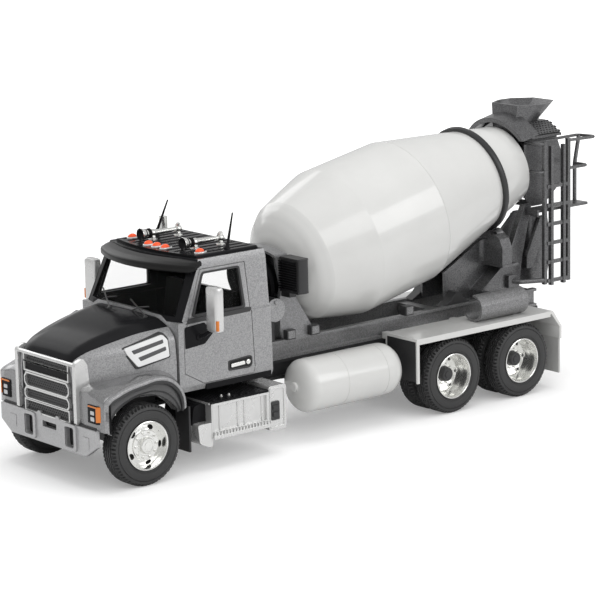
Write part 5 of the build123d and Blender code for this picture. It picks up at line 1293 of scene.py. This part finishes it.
    def _mirrors(self) -> None:
        """Make the mirrors: a tapered rounded shell with a glass behind, an arm and an amber strip."""
        skin = Skin()
        low, high = 36.9, 48.5
        z = np.array([low, low + 0.25, low + 0.8, 38.6, 42.5, 46.2, high - 0.8, high - 0.25, high])
        shrink = np.array([0.72, 0.92, 1.0, 1.0, 1.0, 1.0, 1.0, 0.92, 0.72])
        section = rounded([(-2.45, -0.9), (-1.7, -1.25), (1.7, -1.25), (2.45, -0.9), (2.45, 1.2), (-2.45, 1.2)], 0.5, 3)
        net = np.empty((len(z), len(section), 3))
        net[..., 0] = 26.5 + section[None, :, 0] * shrink[:, None]
        net[..., 1] = 20.1 + section[None, :, 1] * shrink[:, None]
        net[..., 2] = z[:, None]
        skin.grid(net, 0, around=True)
        skin.cap(net[0], 0)
        skin.cap(net[-1][::-1], 0)
        face = rounded([(24.5, 37.9), (28.5, 37.9), (28.5, 47.7), (24.5, 47.7)], 0.5, 3)
        skin.prism(face, "y", 21.2, 21.42, 3)
        skin.box((28.4, 29.02), (18.95, 19.55), (37.5, 40.1), 2)
        arm = np.array([(20.9, 19.2, 34.9), (22.6, 19.4, 35.4), (24.6, 19.8, 36.6), (25.4, 20.0, 37.4)])
        skin.tube(arm, np.array([0.62, 0.5, 0.45, 0.4]), 10, 1)
        skin.lathe([(0, 0.9), (0.35, 0.8), (0.5, 0.4), (0.5, 0)], (21.1, 19.0, 34.9), (1, 0, 0), 16, 1)
        self.shop.piece("mirror_units", skin.both_sides(), [SATIN, BLACK, AMBER, CHROME], Body.TRUCK, "cab_silver",
                        ["mirrors"], bevel=0.0)

    def _horns(self) -> None:
        """Make the two roof horns: a flared bell, a long pipe, brackets and a sound box."""
        skin = Skin()
        z = ROOF + 1.7
        bell = [(0.0, 1.65), (0.12, 1.7), (0.9, 1.45), (2.4, 1.0), (5.0, 0.75), (13.4, 0.5), (13.5, 0.0)]
        skin.lathe(bell, (9.1, 23.6, z), (0, 1, 0), 32)
        skin.lathe([(0.9, 0.0), (0.7, 0.5), (0.35, 1.0), (0.0, 1.65)], (9.1, 23.6, z), (0, 1, 0), 32, 1)
        for y in (24.9, 26.4):
            skin.lathe([(-0.3, 1.0), (-0.25, 1.35), (0.25, 1.35), (0.3, 1.0)], (9.1, y, z), (0, 1, 0), 24, 1)
        for y, r in ((27.6, 1.0), (35.9, 1.0)):
            skin.lathe([(-0.6, 0), (-0.6, r * 0.9), (-0.45, r), (0.45, r), (0.6, r * 0.9), (0.6, 0)], (9.1, y, z),
                       (0, 1, 0), 24)
            skin.prism(rounded([(8.3, ROOF - 0.2), (9.9, ROOF - 0.2), (9.5, z), (8.7, z)], 0.2, 2), "y", y - 0.4,
                       y + 0.4)
            skin.lathe([(0, 1.25), (0.35, 1.2), (0.45, 0.9), (0.45, 0)], (9.1, y, ROOF - 0.25), (0, 0, 1), 24)
        skin.lathe([(0, 0.7), (1.4, 0.7), (1.6, 0.5), (1.6, 0)], (9.1, 35.9, z), (0, 0, 1), 20)
        self.shop.piece("roof_horns", skin.both_sides(), [CHROME, BLACK], Body.TRUCK, "bright_chrome",
                        ["air_horns"])
        aerial = Skin()
        foot = np.array([15.3, 33.2, ROOF - 0.2])
        tip = np.array([13.9, 36.4, ROOF + 8.8])
        way = np.linspace(0, 1, 9)[:, None]
        aerial.tube(foot + way * (tip - foot), np.linspace(0.42, 0.2, 9), 10)
        aerial.lathe([(0, 0.95), (0.35, 0.9), (0.8, 0.62), (1.5, 0.5), (1.7, 0.0)], tuple(foot),
                     (-0.15, 0.34, 0.93), 18)
        self.shop.piece("roof_antennas", aerial.both_sides(), [BLACK], Body.TRUCK, "gloss_black", ["antennas"])

    def _markers(self) -> None:
        """Make the five roof marker lamps: a domed amber lens in a pale tray."""
        skin = Skin()
        turn = np.linspace(0, 2 * math.pi, 28, endpoint=False)
        plan = np.stack([np.cos(turn) * 1.15, np.sin(turn) * 1.9], 1)
        z = np.array([ROOF - 0.35, ROOF + 0.1, ROOF + 0.3, ROOF + 0.34])
        size = np.array([1.0, 1.0, 0.94, 0.8])
        rise = np.linspace(0, math.pi / 2, 7)
        for x, y in self.markers:
            tray = np.stack([x + plan[None, :, 0] * size[:, None], y + plan[None, :, 1] * size[:, None],
                             np.broadcast_to(z[:, None], (len(z), len(turn)))], -1)
            skin.grid(tray, 0, around=True)
            dome = np.stack([x + plan[None, :, 0] * 0.8 * np.cos(rise)[:, None],
                             y - 0.25 + plan[None, :, 1] * 0.68 * np.cos(rise)[:, None],
                             np.broadcast_to((ROOF + 0.3 + 0.85 * np.sin(rise))[:, None], (len(rise), len(turn)))], -1)
            skin.grid(dome, 1, around=True)
        self.shop.piece("marker_lamps", skin, [SATIN, MARKER], Body.TRUCK, "amber_lens", ["roof_lights"], angle=60)

    def _wipers(self) -> None:
        """Make the two wipers on their pivots."""
        skin = Skin()
        for x0, x1, foot in ((-6.0, -15.5, 10.6), (10.0, 1.0, 10.4)):
            way = np.linspace(0, 1, 7)[:, None]
            start, end = np.array([x0, foot + 0.3, 39.7]), np.array([x1, foot + 2.2 + 0.012 * x1 ** 2, 42.6])
            skin.tube(start + way * (end - start), 0.22, 8)
            mid = (start + end) / 2
            blade = np.array([mid + (-4.2, 0.5, -1.6), mid + (0, 0, 0.1), mid + (4.2, 0.4, 0.9)])
            skin.tube(blade, 0.2, 8)
            skin.lathe([(0, 0.6), (0.5, 0.55), (0.7, 0.3), (0.7, 0)], (x0, foot + 0.3, 39.3), (0, -0.4, 1), 14)
        self.shop.piece("wipers", skin, [PLASTIC], Body.TRUCK, "black_plastic")


# ---- drum and tanks --------------------------------------------------------------------------------


@dataclass
class Mixer:
    """The drum and its track ring."""

    shop: Workshop
    tilt: float = 12.44
    foot: tuple[float, float] = (58.8, 42.7)
    length: float = 88.7
    ring_back: float = 13.27     # mouth back to the middle of the track ring

    @property
    def way(self) -> np.ndarray:
        """The drum's axis, aft and up."""
        lean = math.radians(self.tilt)
        return np.array([0.0, math.cos(lean), math.sin(lean)])

    def on_axis(self, run: float) -> tuple[float, float, float]:
        """A point of the axis at a run from the drive."""
        return tuple(np.array([0.0, *self.foot]) + self.way * run)

    def build(self) -> None:
        """Make the drum as one turned shell with its seam, the ring and the hub."""
        head = np.array([(1.5, 5.5), (2.3, 8.7), (4.0, 12.0), (6.2, 14.7), (9.0, 16.74)])
        body = [(9.2, 16.82), (16.2, 18.95), (23.2, 20.93), (23.6, 21.0), (35.6, 20.88), (47.6, 20.76), (48.0, 20.74),
                (48.0, 20.64), (48.12, 20.64), (48.12, 20.7), (62.0, 17.62), (74.0, 14.9), (self.length - 1.6, 11.95),
                (self.length - 0.2, 11.65), (self.length, 11.45), (self.length, 10.8)]
        inside = [(self.length - 1.7, 10.7), (74.0, 13.9), (48.1, 19.7), (23.6, 19.95), (9.6, 15.9), (4.6, 11.2),
                  (2.6, 5.0), (2.5, 0.0)]
        steps = np.linspace(0, 1, 4)[:-1]
        fine = [tuple(a + (b - a) * t) for a, b in zip(head[:-1], head[1:]) for t in steps] + [tuple(head[-1])]
        skin = Skin()
        skin.lathe([(1.2, 0.0), (1.3, 3.0)] + fine + body + inside, self.on_axis(0), tuple(self.way), 144)
        skin.lathe([(-5.5, 0.0), (-5.5, 2.0), (1.3, 2.0)], self.on_axis(0), tuple(self.way), 32, 1)
        skin.lathe([(0.3, 2.0), (0.3, 4.2), (1.5, 4.2)], self.on_axis(0), tuple(self.way), 32, 1)
        self.shop.piece("drum_shell", skin, [WHITE, GRAPHITE], Body.DRUM, "gloss_white", ["drum"], angle=24)
        ring = Skin()
        run = self.length - self.ring_back
        ring.lathe([(-0.8, 13.9), (-0.85, 15.1), (-0.75, 15.65), (-0.5, 15.8), (0.5, 15.8), (0.75, 15.65), (0.85, 15.1),
                    (0.8, 13.9), (-0.8, 13.9)], self.on_axis(run), tuple(self.way), 144)
        self.shop.piece("track_ring", ring, [CHASSIS], Body.DRUM, "mixer_graphite", ["drum_track_ring"], angle=40)


# ---- boxes along the chassis -----------------------------------------------------------------------


@dataclass
class SideBoxes:
    """The step box, its serrated step and top plate, the locker with its latch and the side tank."""

    shop: Workshop
    out: float = 23.5            # outer face
    top: float = 17.4
    y0: float = 20.8             # front and back of the step box
    y1: float = 39.3
    back: float = 8.9            # inner face, at the chassis
    tank_ends: tuple[float, float] = (53.6, 88.4)
    tank_r: float = 7.2

    def build(self) -> None:
        """Make the boxes and the tank."""
        self._steps()
        self._cover()
        self._locker()
        self._tank()

    def _steps(self) -> None:
        """Make the step box face: framed panel with upright ribs, and the toothed step under it."""
        skin = Skin()
        skin.box((self.back, self.out - 0.75), (self.y0, self.y1), (8.4, self.top), 0)
        outer = [(self.y0, 8.9), (self.y1, 8.9), (self.y1, self.top), (self.y0, self.top)]
        inner = [(self.y0 + 0.7, 10.1), (self.y1 - 0.7, 10.1), (self.y1 - 0.7, self.top - 0.7),
                 (self.y0 + 0.7, self.top - 0.7)]
        skin.ring_plate(outer, inner, "x", self.out - 0.8, self.out, 0)
        for y in (23.6, 29.5, 31.7, 37.4):
            skin.box((self.out - 0.8, self.out - 0.5), (y - 0.22, y + 0.22), (10.1, self.top - 0.7), 0)
        skin.box((self.out - 3.0, self.out + 0.45), (self.y0, self.y1), (8.4, 9.0), 0)
        teeth = np.arange(self.y0 + 0.5, self.y1 - 0.3, 1.02)
        for y in teeth:
            skin.prism([(y - 0.36, 9.0), (y + 0.36, 9.0), (y + 0.16, 10.0), (y - 0.16, 10.0)], "x", self.out - 0.2,
                       self.out + 0.7, 0)
        skin.box((self.out + 0.2, self.out + 0.7), (self.y0, self.y1), (8.1, 9.1), 0)
        self.shop.piece("step_box_form", skin, [SATIN], Body.TRUCK, "bright_chrome", ["step_box"], bevel=0.1)

    def _cover(self) -> None:
        """Make the black tread plate on the box with its bolts, and the box's curved front end."""
        skin = Skin()
        skin.box((self.back, self.out + 0.1), (self.y0 - 1.0, self.y1), (self.top, self.top + 0.55), 0)
        centres = staggered(14.0, 17.0, (1.2, 1.0)) + (16.0, 30.0)
        for x, y in centres:
            skin.lathe([(0, 0.24), (0.12, 0.18), (0.14, 0)], (x, y, self.top + 0.54), (0, 0, 1), 6, 0)
        for x, y in ((20.2, 26.2), (20.6, 28.4)):
            skin.lathe([(0, 0.6), (0.2, 0.6), (0.25, 0.4), (0.5, 0.4), (0.6, 0.28), (0.6, 0)], (x, y, self.top + 0.5),
                       (0, 0, 1), 16, 2)
        for y in np.arange(self.y0 + 1.2, 34.5, 2.2):
            skin.lathe([(0, 0.5), (0.2, 0.48), (0.42, 0.3), (0.48, 0)], (self.out - 0.9, y, self.top + 0.5),
                       (0, 0, 1), 16, 0)
        skin.box((10.0, self.out + 0.1), (self.y0 - 1.15, self.y0 - 0.9), (self.top - 0.1, self.top + 0.5), 1)
        skin.box((self.out - 2.6, self.out), (self.y0 - 0.3, self.y0 + 0.2), (8.4, self.top), 1)
        end = rounded([(19.8, self.top), (16.8, self.top - 0.4), (16.2, self.top - 5.0), (16.8, 7.4), (19.8, 6.6),
                       (20.8, 6.6), (20.8, self.top)], 1.2, 5)
        skin.prism(end, "x", self.back, self.out - 2.6, 0)
        low = rounded([(20.9, 12.6), (16.2, 12.6), (16.7, 7.6), (19.6, 6.2), (20.9, 6.2)], 0.8, 5)
        skin.prism(low, "x", 10.4, self.out - 0.1, 1)
        self.shop.piece("battery_cover", skin, [BLACK, SATIN, CHROME], Body.TRUCK, "black_plastic", ["battery_box"],
                        bevel=0.12)

    def _locker(self) -> None:
        """Make the locker beside the steps, with a pressed border and a black latch."""
        skin = Skin()
        line = rounded([(self.y1, 6.8), (45.2, 6.8), (45.2, 18.7), (self.y1, 18.7)], 0.9, 5)
        skin.prism(line, "x", self.back, self.out - 0.1, 0)
        border = rounded([(self.y1 + 0.3, 7.4), (44.7, 7.4), (44.7, 18.2), (self.y1 + 0.3, 18.2)], 0.7, 4)
        within = rounded([(self.y1 + 0.7, 7.9), (44.2, 7.9), (44.2, 17.7), (self.y1 + 0.7, 17.7)], 0.6, 4)
        skin.ring_plate(border.tolist(), within.tolist(), "x", self.out - 0.2, self.out + 0.15, 0)
        latch = rounded([(39.8, 9.6), (42.6, 9.6), (42.6, 14.6), (39.8, 14.6)], 0.35, 3)
        skin.prism(latch, "x", self.out - 0.2, self.out + 0.35, 1)
        for z in (10.6, 12.4):
            skin.prism(rounded([(40.2, z), (42.2, z), (42.2, z + 1.2), (40.2, z + 1.2)], 0.25, 3), "x", self.out,
                       self.out + 0.7, 1)
        self.shop.piece("locker_form", skin, [SATIN, PLASTIC], Body.TRUCK, "bright_chrome", ["side_locker"], bevel=0.12)

    def _tank(self) -> None:
        """Make the white tank with domed ends, an end boss and two faint seams."""
        skin = Skin()
        (y0, y1), r = self.tank_ends, self.tank_r
        turn = np.linspace(0, math.pi / 2, 12)
        nose = [(3.4 * (1 - math.cos(t)), r * math.sin(t) ** 0.8) for t in turn]
        end = [(5.2 * (1 - math.cos(t)), r * math.sin(t) ** 0.85) for t in turn]
        seam = [(13.0, r), (13.0, r - 0.07), (13.15, r - 0.07), (13.15, r), (27.0, r), (27.0, r - 0.07),
                (27.15, r - 0.07), (27.15, r)]
        length = y1 - y0
        tail = [(length - run, rad) for run, rad in reversed(end)]
        skin.lathe(nose + seam + tail, (16.6, y0, 14.8), (0, 1, 0), 80)
        skin.lathe([(-0.6, 0), (-0.6, 1.1), (-0.45, 1.3), (0.2, 1.35), (0.3, 1.7), (0.6, 1.75)], (16.6, y0, 15.0),
                   (0, 1, 0), 24)
        self.shop.piece("tank_shell", skin, [WHITE], Body.TRUCK, "gloss_white", ["side_tank"], angle=30)


# ---- everything carried over ------------------------------------------------------------------------


@dataclass
class Castings:
    """The CAD's own forms, carried over with rounded edges and their finishes, and small fittings."""

    shop: Workshop
    mixer: Mixer
    bevels: dict[str, float] = field(default_factory=lambda: {
        "ladder": 0.18, "platform_rails": 0.16, "mixer_subframe": 0.16, "rear_pedestal": 0.2, "rear_fenders": 0.16,
        "charge_hopper": 0.2, "mouth_shroud": 0.2, "collector": 0.16, "front_pedestal": 0.16, "stored_chute": 0.14,
        "main_chute": 0.14, "chassis_frame": 0.14, "windshield": 0.0, "cab_windows": 0.0, "rear_platform": 0.12,
        "roller_guards": 0.16, "oil_reservoir": 0.3, "drum_drive": 0.2, "fuel_tank": 0.0, "exhaust_stack": 0.0})

    def build(self, nodes: dict[str, bpy.types.Object], slots: dict[str, str], homes: dict[str, str]) -> None:
        """Carry over every CAD node that no piece has replaced.

        Args:
            nodes: CAD nodes by name.
            slots: Material slot of each node.
            homes: Body of each node.
        """
        self._decks()
        self._fittings()
        for name in sorted(nodes):
            if nodes[name].hide_render:
                continue
            finish = SLOT_FINISH[slots[name]]
            finish, other, paint = self.special.get(name, (finish, finish, None))
            self.shop.carry(name, [finish, other], Body(homes[name]), slots[name], self.bevels.get(name, 0.1), paint)

    @property
    def special(self) -> dict[str, tuple[Finish, Finish, Callable[[np.ndarray, np.ndarray], np.ndarray] | None]]:
        """Nodes in two finishes, or in one that isn't their slot's.

        Returns:
            For each node its finish, its second finish, and which faces take the second.
        """
        return {
            "drum_drive": (BLACK, BLACK, None),
            "mixer_subframe": (RAIL, RAIL, None),
            "oil_cooler": (CHASSIS, CHASSIS, None),
            "front_pedestal": (PLATE_SILVER, CHASSIS, lambda place, normal: (place[:, 2] > 50.6).astype(int)),
            "oil_reservoir": (CHASSIS, SILVER, lambda place, normal: (np.abs(place[:, 0]) > 11.2).astype(int)),
            "stored_chute": (RAIL, RAIL, None),
            "mud_flaps": (RUBBER, FLAP, lambda place, normal: (place[:, 1] > 136.0).astype(int)),
        }

    def _decks(self) -> None:
        """Make the perforated tread plates that slope down on each side of the hopper. The holes' floors are bright
        satin, painted light in the perforations.
        """
        skin = Skin()
        mouth = np.array(self.mixer.on_axis(self.mixer.length))
        slope = math.atan2(3.1, 5.2)

        def lay(u: np.ndarray, v: np.ndarray, d: np.ndarray) -> np.ndarray:
            """Run aft and down the slope, from the deck's inner edge.

            Args:
                u: Places along the deck.
                v: Places down its slope.
                d: Depths.

            Returns:
                The points.
            """
            x = 6.0 + v * math.cos(slope) + d * -math.sin(slope)
            z = mouth[2] + 12.35 - v * math.sin(slope) - d * math.cos(slope)
            return np.stack([x, mouth[1] + 7.5 + u, z], -1)

        centres = staggered(12.0, 5.8, (1.15, 0.95)) + (0.0, 2.9)
        # painted light: the holes' floors take the bright satin finish
        skin.punched(centres, (0.575, 0.475), (0.4, 0.24), 0.35, lay, (0, 1), 8)
        self.shop.piece("tread_decks", skin.both_sides(), [GRAPHITE, SATIN], Body.TRUCK, "mixer_graphite",
                        outward=False)

    def _fittings(self) -> None:
        """Make the cooler's fins with its end tanks, and the clamps and drum cradle on the mixer's rails."""
        fins = Skin()
        for z in np.arange(40.4, 48.2, 0.66):
            fins.box((9.2, 16.2), (54.85, 55.65), (z, z + 0.28), 1)
        tank = rounded([(16.0, 55.2), (17.2, 55.4), (17.6, 56.4), (17.6, 57.8), (17.2, 58.7), (16.0, 58.9)], 0.5, 3)
        fins.prism(tank, "z", 39.7, 48.9, 0)
        fins.box((9.4, 17.0), (55.2, 58.8), (39.6, 40.2), 0)
        fins.box((9.4, 17.0), (55.2, 58.8), (48.4, 49.0), 0)
        self.shop.piece("cooler_fins", fins, [CHASSIS, BLACK], Body.TRUCK, "black_plastic", bevel=0.05)
        clamps = Skin()
        for y in (57.7, 66.0, 100.0):
            clamps.box((8.4, 10.8), (y - 1.5, y + 1.5), (26.2, 28.8), 0)
            clamps.box((10.7, 11.0), (y - 1.2, y + 1.2), (26.5, 28.6), 1)
        clamps.box((8.4, 10.6), (128.4, 131.0), (26.0, 28.2), 0)
        cradle = [(115.0, 25.8), (118.0, 27.4), (119.8, 29.4), (121.0, 29.4), (122.8, 27.4), (125.5, 25.8)]
        clamps.prism(cradle, "x", 5.0, 8.3, 0)
        self.shop.piece("rail_clamps", clamps.both_sides(), [PLASTIC, RAIL], Body.TRUCK, "black_plastic", bevel=0.12)


# ---- studio ---------------------------------------------------------------------------------------


@dataclass(frozen=True)
class SoftBox:
    """One square soft box that points at the truck's middle."""

    AIM: ClassVar[Vector] = Vector((0.0, 0.0, 0.03))
    name: str
    place: tuple[float, float, float]
    size: float
    power: float
    reflected: bool = True

    def hang(self) -> None:
        """Make the lamp and turn it to the truck."""
        data = bpy.data.lights.new(self.name, "AREA")
        data.size, data.energy = self.size, self.power
        lamp = bpy.data.objects.new(self.name, data)
        lamp.location = self.place
        lamp.visible_glossy = self.reflected
        lamp.rotation_euler = (self.AIM - Vector(self.place)).to_track_quat("-Z", "Y").to_euler()
        bpy.context.collection.objects.link(lamp)


@dataclass(frozen=True)
class Studio:
    """A pale sweep under soft lamps, and the camera."""

    LAMPS: ClassVar[tuple[SoftBox, ...]] = (
        SoftBox("overhead", (0.0, 0.1, 0.9), 0.8, 4.6, reflected=False),
        SoftBox("front_left", (0.75, -0.75, 0.75), 0.9, 4.5, reflected=False),
        SoftBox("card", (0.87, -0.06, 0.6), 0.5, 1.3),
        SoftBox("rear_left", (0.9, 0.5, 0.5), 0.5, 2.0),
        SoftBox("right", (-0.9, 0.0, 0.5), 0.6, 1.5))
    azimuth: float = 50.563403
    elevation: float = 12.002518
    roll: float = -1.167628
    distance: float = 706.055
    target: tuple[float, float, float] = (-5.266, 74.955, 33.204)
    lens: float = 155.33
    shift: tuple[float, float] = (-0.00768, -0.00441)
    soft: float = 0.42       # strength of the surroundings as a light
    mirrored: float = 0.35   # how white the surroundings are in a mirror, from the soft light up to full white
    side: float = 3.0        # half the floor's side, in metres
    glow: tuple[float, float] = (0.24, 1.0)     # how far the floor glows, under the truck and away from it
    spread: tuple[float, float] = (0.12, 0.75)  # where the floor's glow starts to rise and is full, in metres

    def build(self, datum: Datum) -> None:
        """Set the floor, the world, the lamps and the camera.

        Args:
            datum: The front axle's place, from which the camera's target is measured.
        """
        self._floor()
        self._world()
        for lamp in self.LAMPS:
            lamp.hang()
        self._camera(datum)
        bpy.context.scene.view_settings.view_transform = "Standard"

    def _floor(self) -> None:
        """Lay a pale floor that glows white to the camera where nothing shades it."""
        mesh = bpy.data.meshes.new("floor")
        corners = [(x * self.side, y * self.side, 0) for x, y in ((-1, -1), (1, -1), (1, 1), (-1, 1))]
        mesh.from_pydata(corners, [], [(0, 1, 2, 3)])
        floor = bpy.data.objects.new("floor", mesh)
        bpy.context.collection.objects.link(floor)
        made = bpy.data.materials.new("pale_floor")
        made.use_nodes = True
        shader = made.node_tree.nodes["Principled BSDF"]
        shader.inputs["Base Color"].default_value = (0.82, 0.82, 0.82, 1)
        shader.inputs["Roughness"].default_value = 0.9
        shader.inputs["Specular IOR Level"].default_value = 0.1
        tree = made.node_tree
        length = tree.nodes.new("ShaderNodeVectorMath")
        length.operation = "LENGTH"
        tree.links.new(tree.nodes.new("ShaderNodeTexCoord").outputs["Object"], length.inputs[0])
        rise = tree.nodes.new("ShaderNodeMapRange")
        rise.interpolation_type = "SMOOTHSTEP"
        rise.inputs["From Min"].default_value, rise.inputs["From Max"].default_value = self.spread
        rise.inputs["To Min"].default_value, rise.inputs["To Max"].default_value = self.glow
        tree.links.new(length.outputs["Value"], rise.inputs["Value"])
        path = tree.nodes.new("ShaderNodeLightPath")
        seen = tree.nodes.new("ShaderNodeMath")
        seen.operation = "MAXIMUM"
        tree.links.new(path.outputs["Is Camera Ray"], seen.inputs[0])
        tree.links.new(path.outputs["Is Transmission Ray"], seen.inputs[1])
        glow = tree.nodes.new("ShaderNodeMath")
        glow.operation = "MULTIPLY"
        tree.links.new(rise.outputs["Result"], glow.inputs[0])
        tree.links.new(seen.outputs[0], glow.inputs[1])
        shader.inputs["Emission Color"].default_value = (1, 1, 1, 1)
        tree.links.new(glow.outputs[0], shader.inputs["Emission Strength"])
        mesh.materials.append(made)

    def _world(self) -> None:
        """White to the camera, to mirrors and through glass, and soft grey as a light."""
        world = bpy.data.worlds.new("studio")
        bpy.context.scene.world = world
        world.use_nodes = True
        tree = world.node_tree
        ground = tree.nodes["Background"]
        ground.inputs["Color"].default_value = (1, 1, 1, 1)
        path = tree.nodes.new("ShaderNodeLightPath")
        first = tree.nodes.new("ShaderNodeMath")
        first.operation = "MAXIMUM"
        tree.links.new(path.outputs["Is Camera Ray"], first.inputs[0])
        tree.links.new(path.outputs["Is Transmission Ray"], first.inputs[1])
        mirror = tree.nodes.new("ShaderNodeMath")
        mirror.operation = "MULTIPLY"
        mirror.inputs[1].default_value = self.mirrored
        tree.links.new(path.outputs["Is Glossy Ray"], mirror.inputs[0])
        both = tree.nodes.new("ShaderNodeMath")
        both.operation = "MAXIMUM"
        tree.links.new(first.outputs[0], both.inputs[0])
        tree.links.new(mirror.outputs[0], both.inputs[1])
        second = tree.nodes.new("ShaderNodeMapRange")
        second.inputs["To Min"].default_value = self.soft
        second.inputs["To Max"].default_value = 1.0
        tree.links.new(both.outputs[0], second.inputs["Value"])
        tree.links.new(second.outputs["Result"], ground.inputs["Strength"])

    def _camera(self, datum: Datum) -> None:
        """Stand the camera at its azimuth, elevation, roll and distance from the target.

        Args:
            datum: The front axle's place.
        """
        a, e, r = (math.radians(v) for v in (self.azimuth, self.elevation, self.roll))
        back = Vector((math.sin(a) * math.cos(e), -math.cos(a) * math.cos(e), math.sin(e)))
        right = (-back).cross(Vector((0, 0, 1))).normalized()
        up = right.cross(-back)
        x = right * math.cos(r) + up * math.sin(r)
        y = -right * math.sin(r) + up * math.cos(r)
        place = (Vector(self.target) + Vector((0, datum.axle_y, 0)) + back * self.distance) * MM
        data = bpy.data.cameras.new("camera")
        data.lens, data.sensor_width = self.lens, 36.0
        data.shift_x, data.shift_y = self.shift
        data.clip_start, data.clip_end = 0.01, 20.0
        camera = bpy.data.objects.new("camera", data)
        camera.matrix_world = Matrix((
            (x.x, y.x, back.x, place.x), (x.y, y.y, back.y, place.y), (x.z, y.z, back.z, place.z), (0, 0, 0, 1)))
        bpy.context.collection.objects.link(camera)
        bpy.context.scene.camera = camera


def main() -> None:
    """Build the truck in the frame, then the studio, and note the sizes."""
    logging.basicConfig(level=logging.INFO, format="%(message)s")
    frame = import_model()
    datum = Datum()
    shop = Workshop(datum)
    Wheels(shop).build()
    Bonnet(shop).build()
    Bumper(shop).build()
    Cab(shop).build()
    mixer = Mixer(shop)
    mixer.build()
    SideBoxes(shop).build()
    slots = {part["node"]: part["material_slot"] for part in frame["record"]["subparts"]}
    homes = {node: body for body, held in frame["record"]["behaviour"]["bodies"].items() for node in held}
    Castings(shop, mixer).build(frame["nodes"], slots, homes)
    Studio().build(datum)


if __name__ == "__main__":
    main()
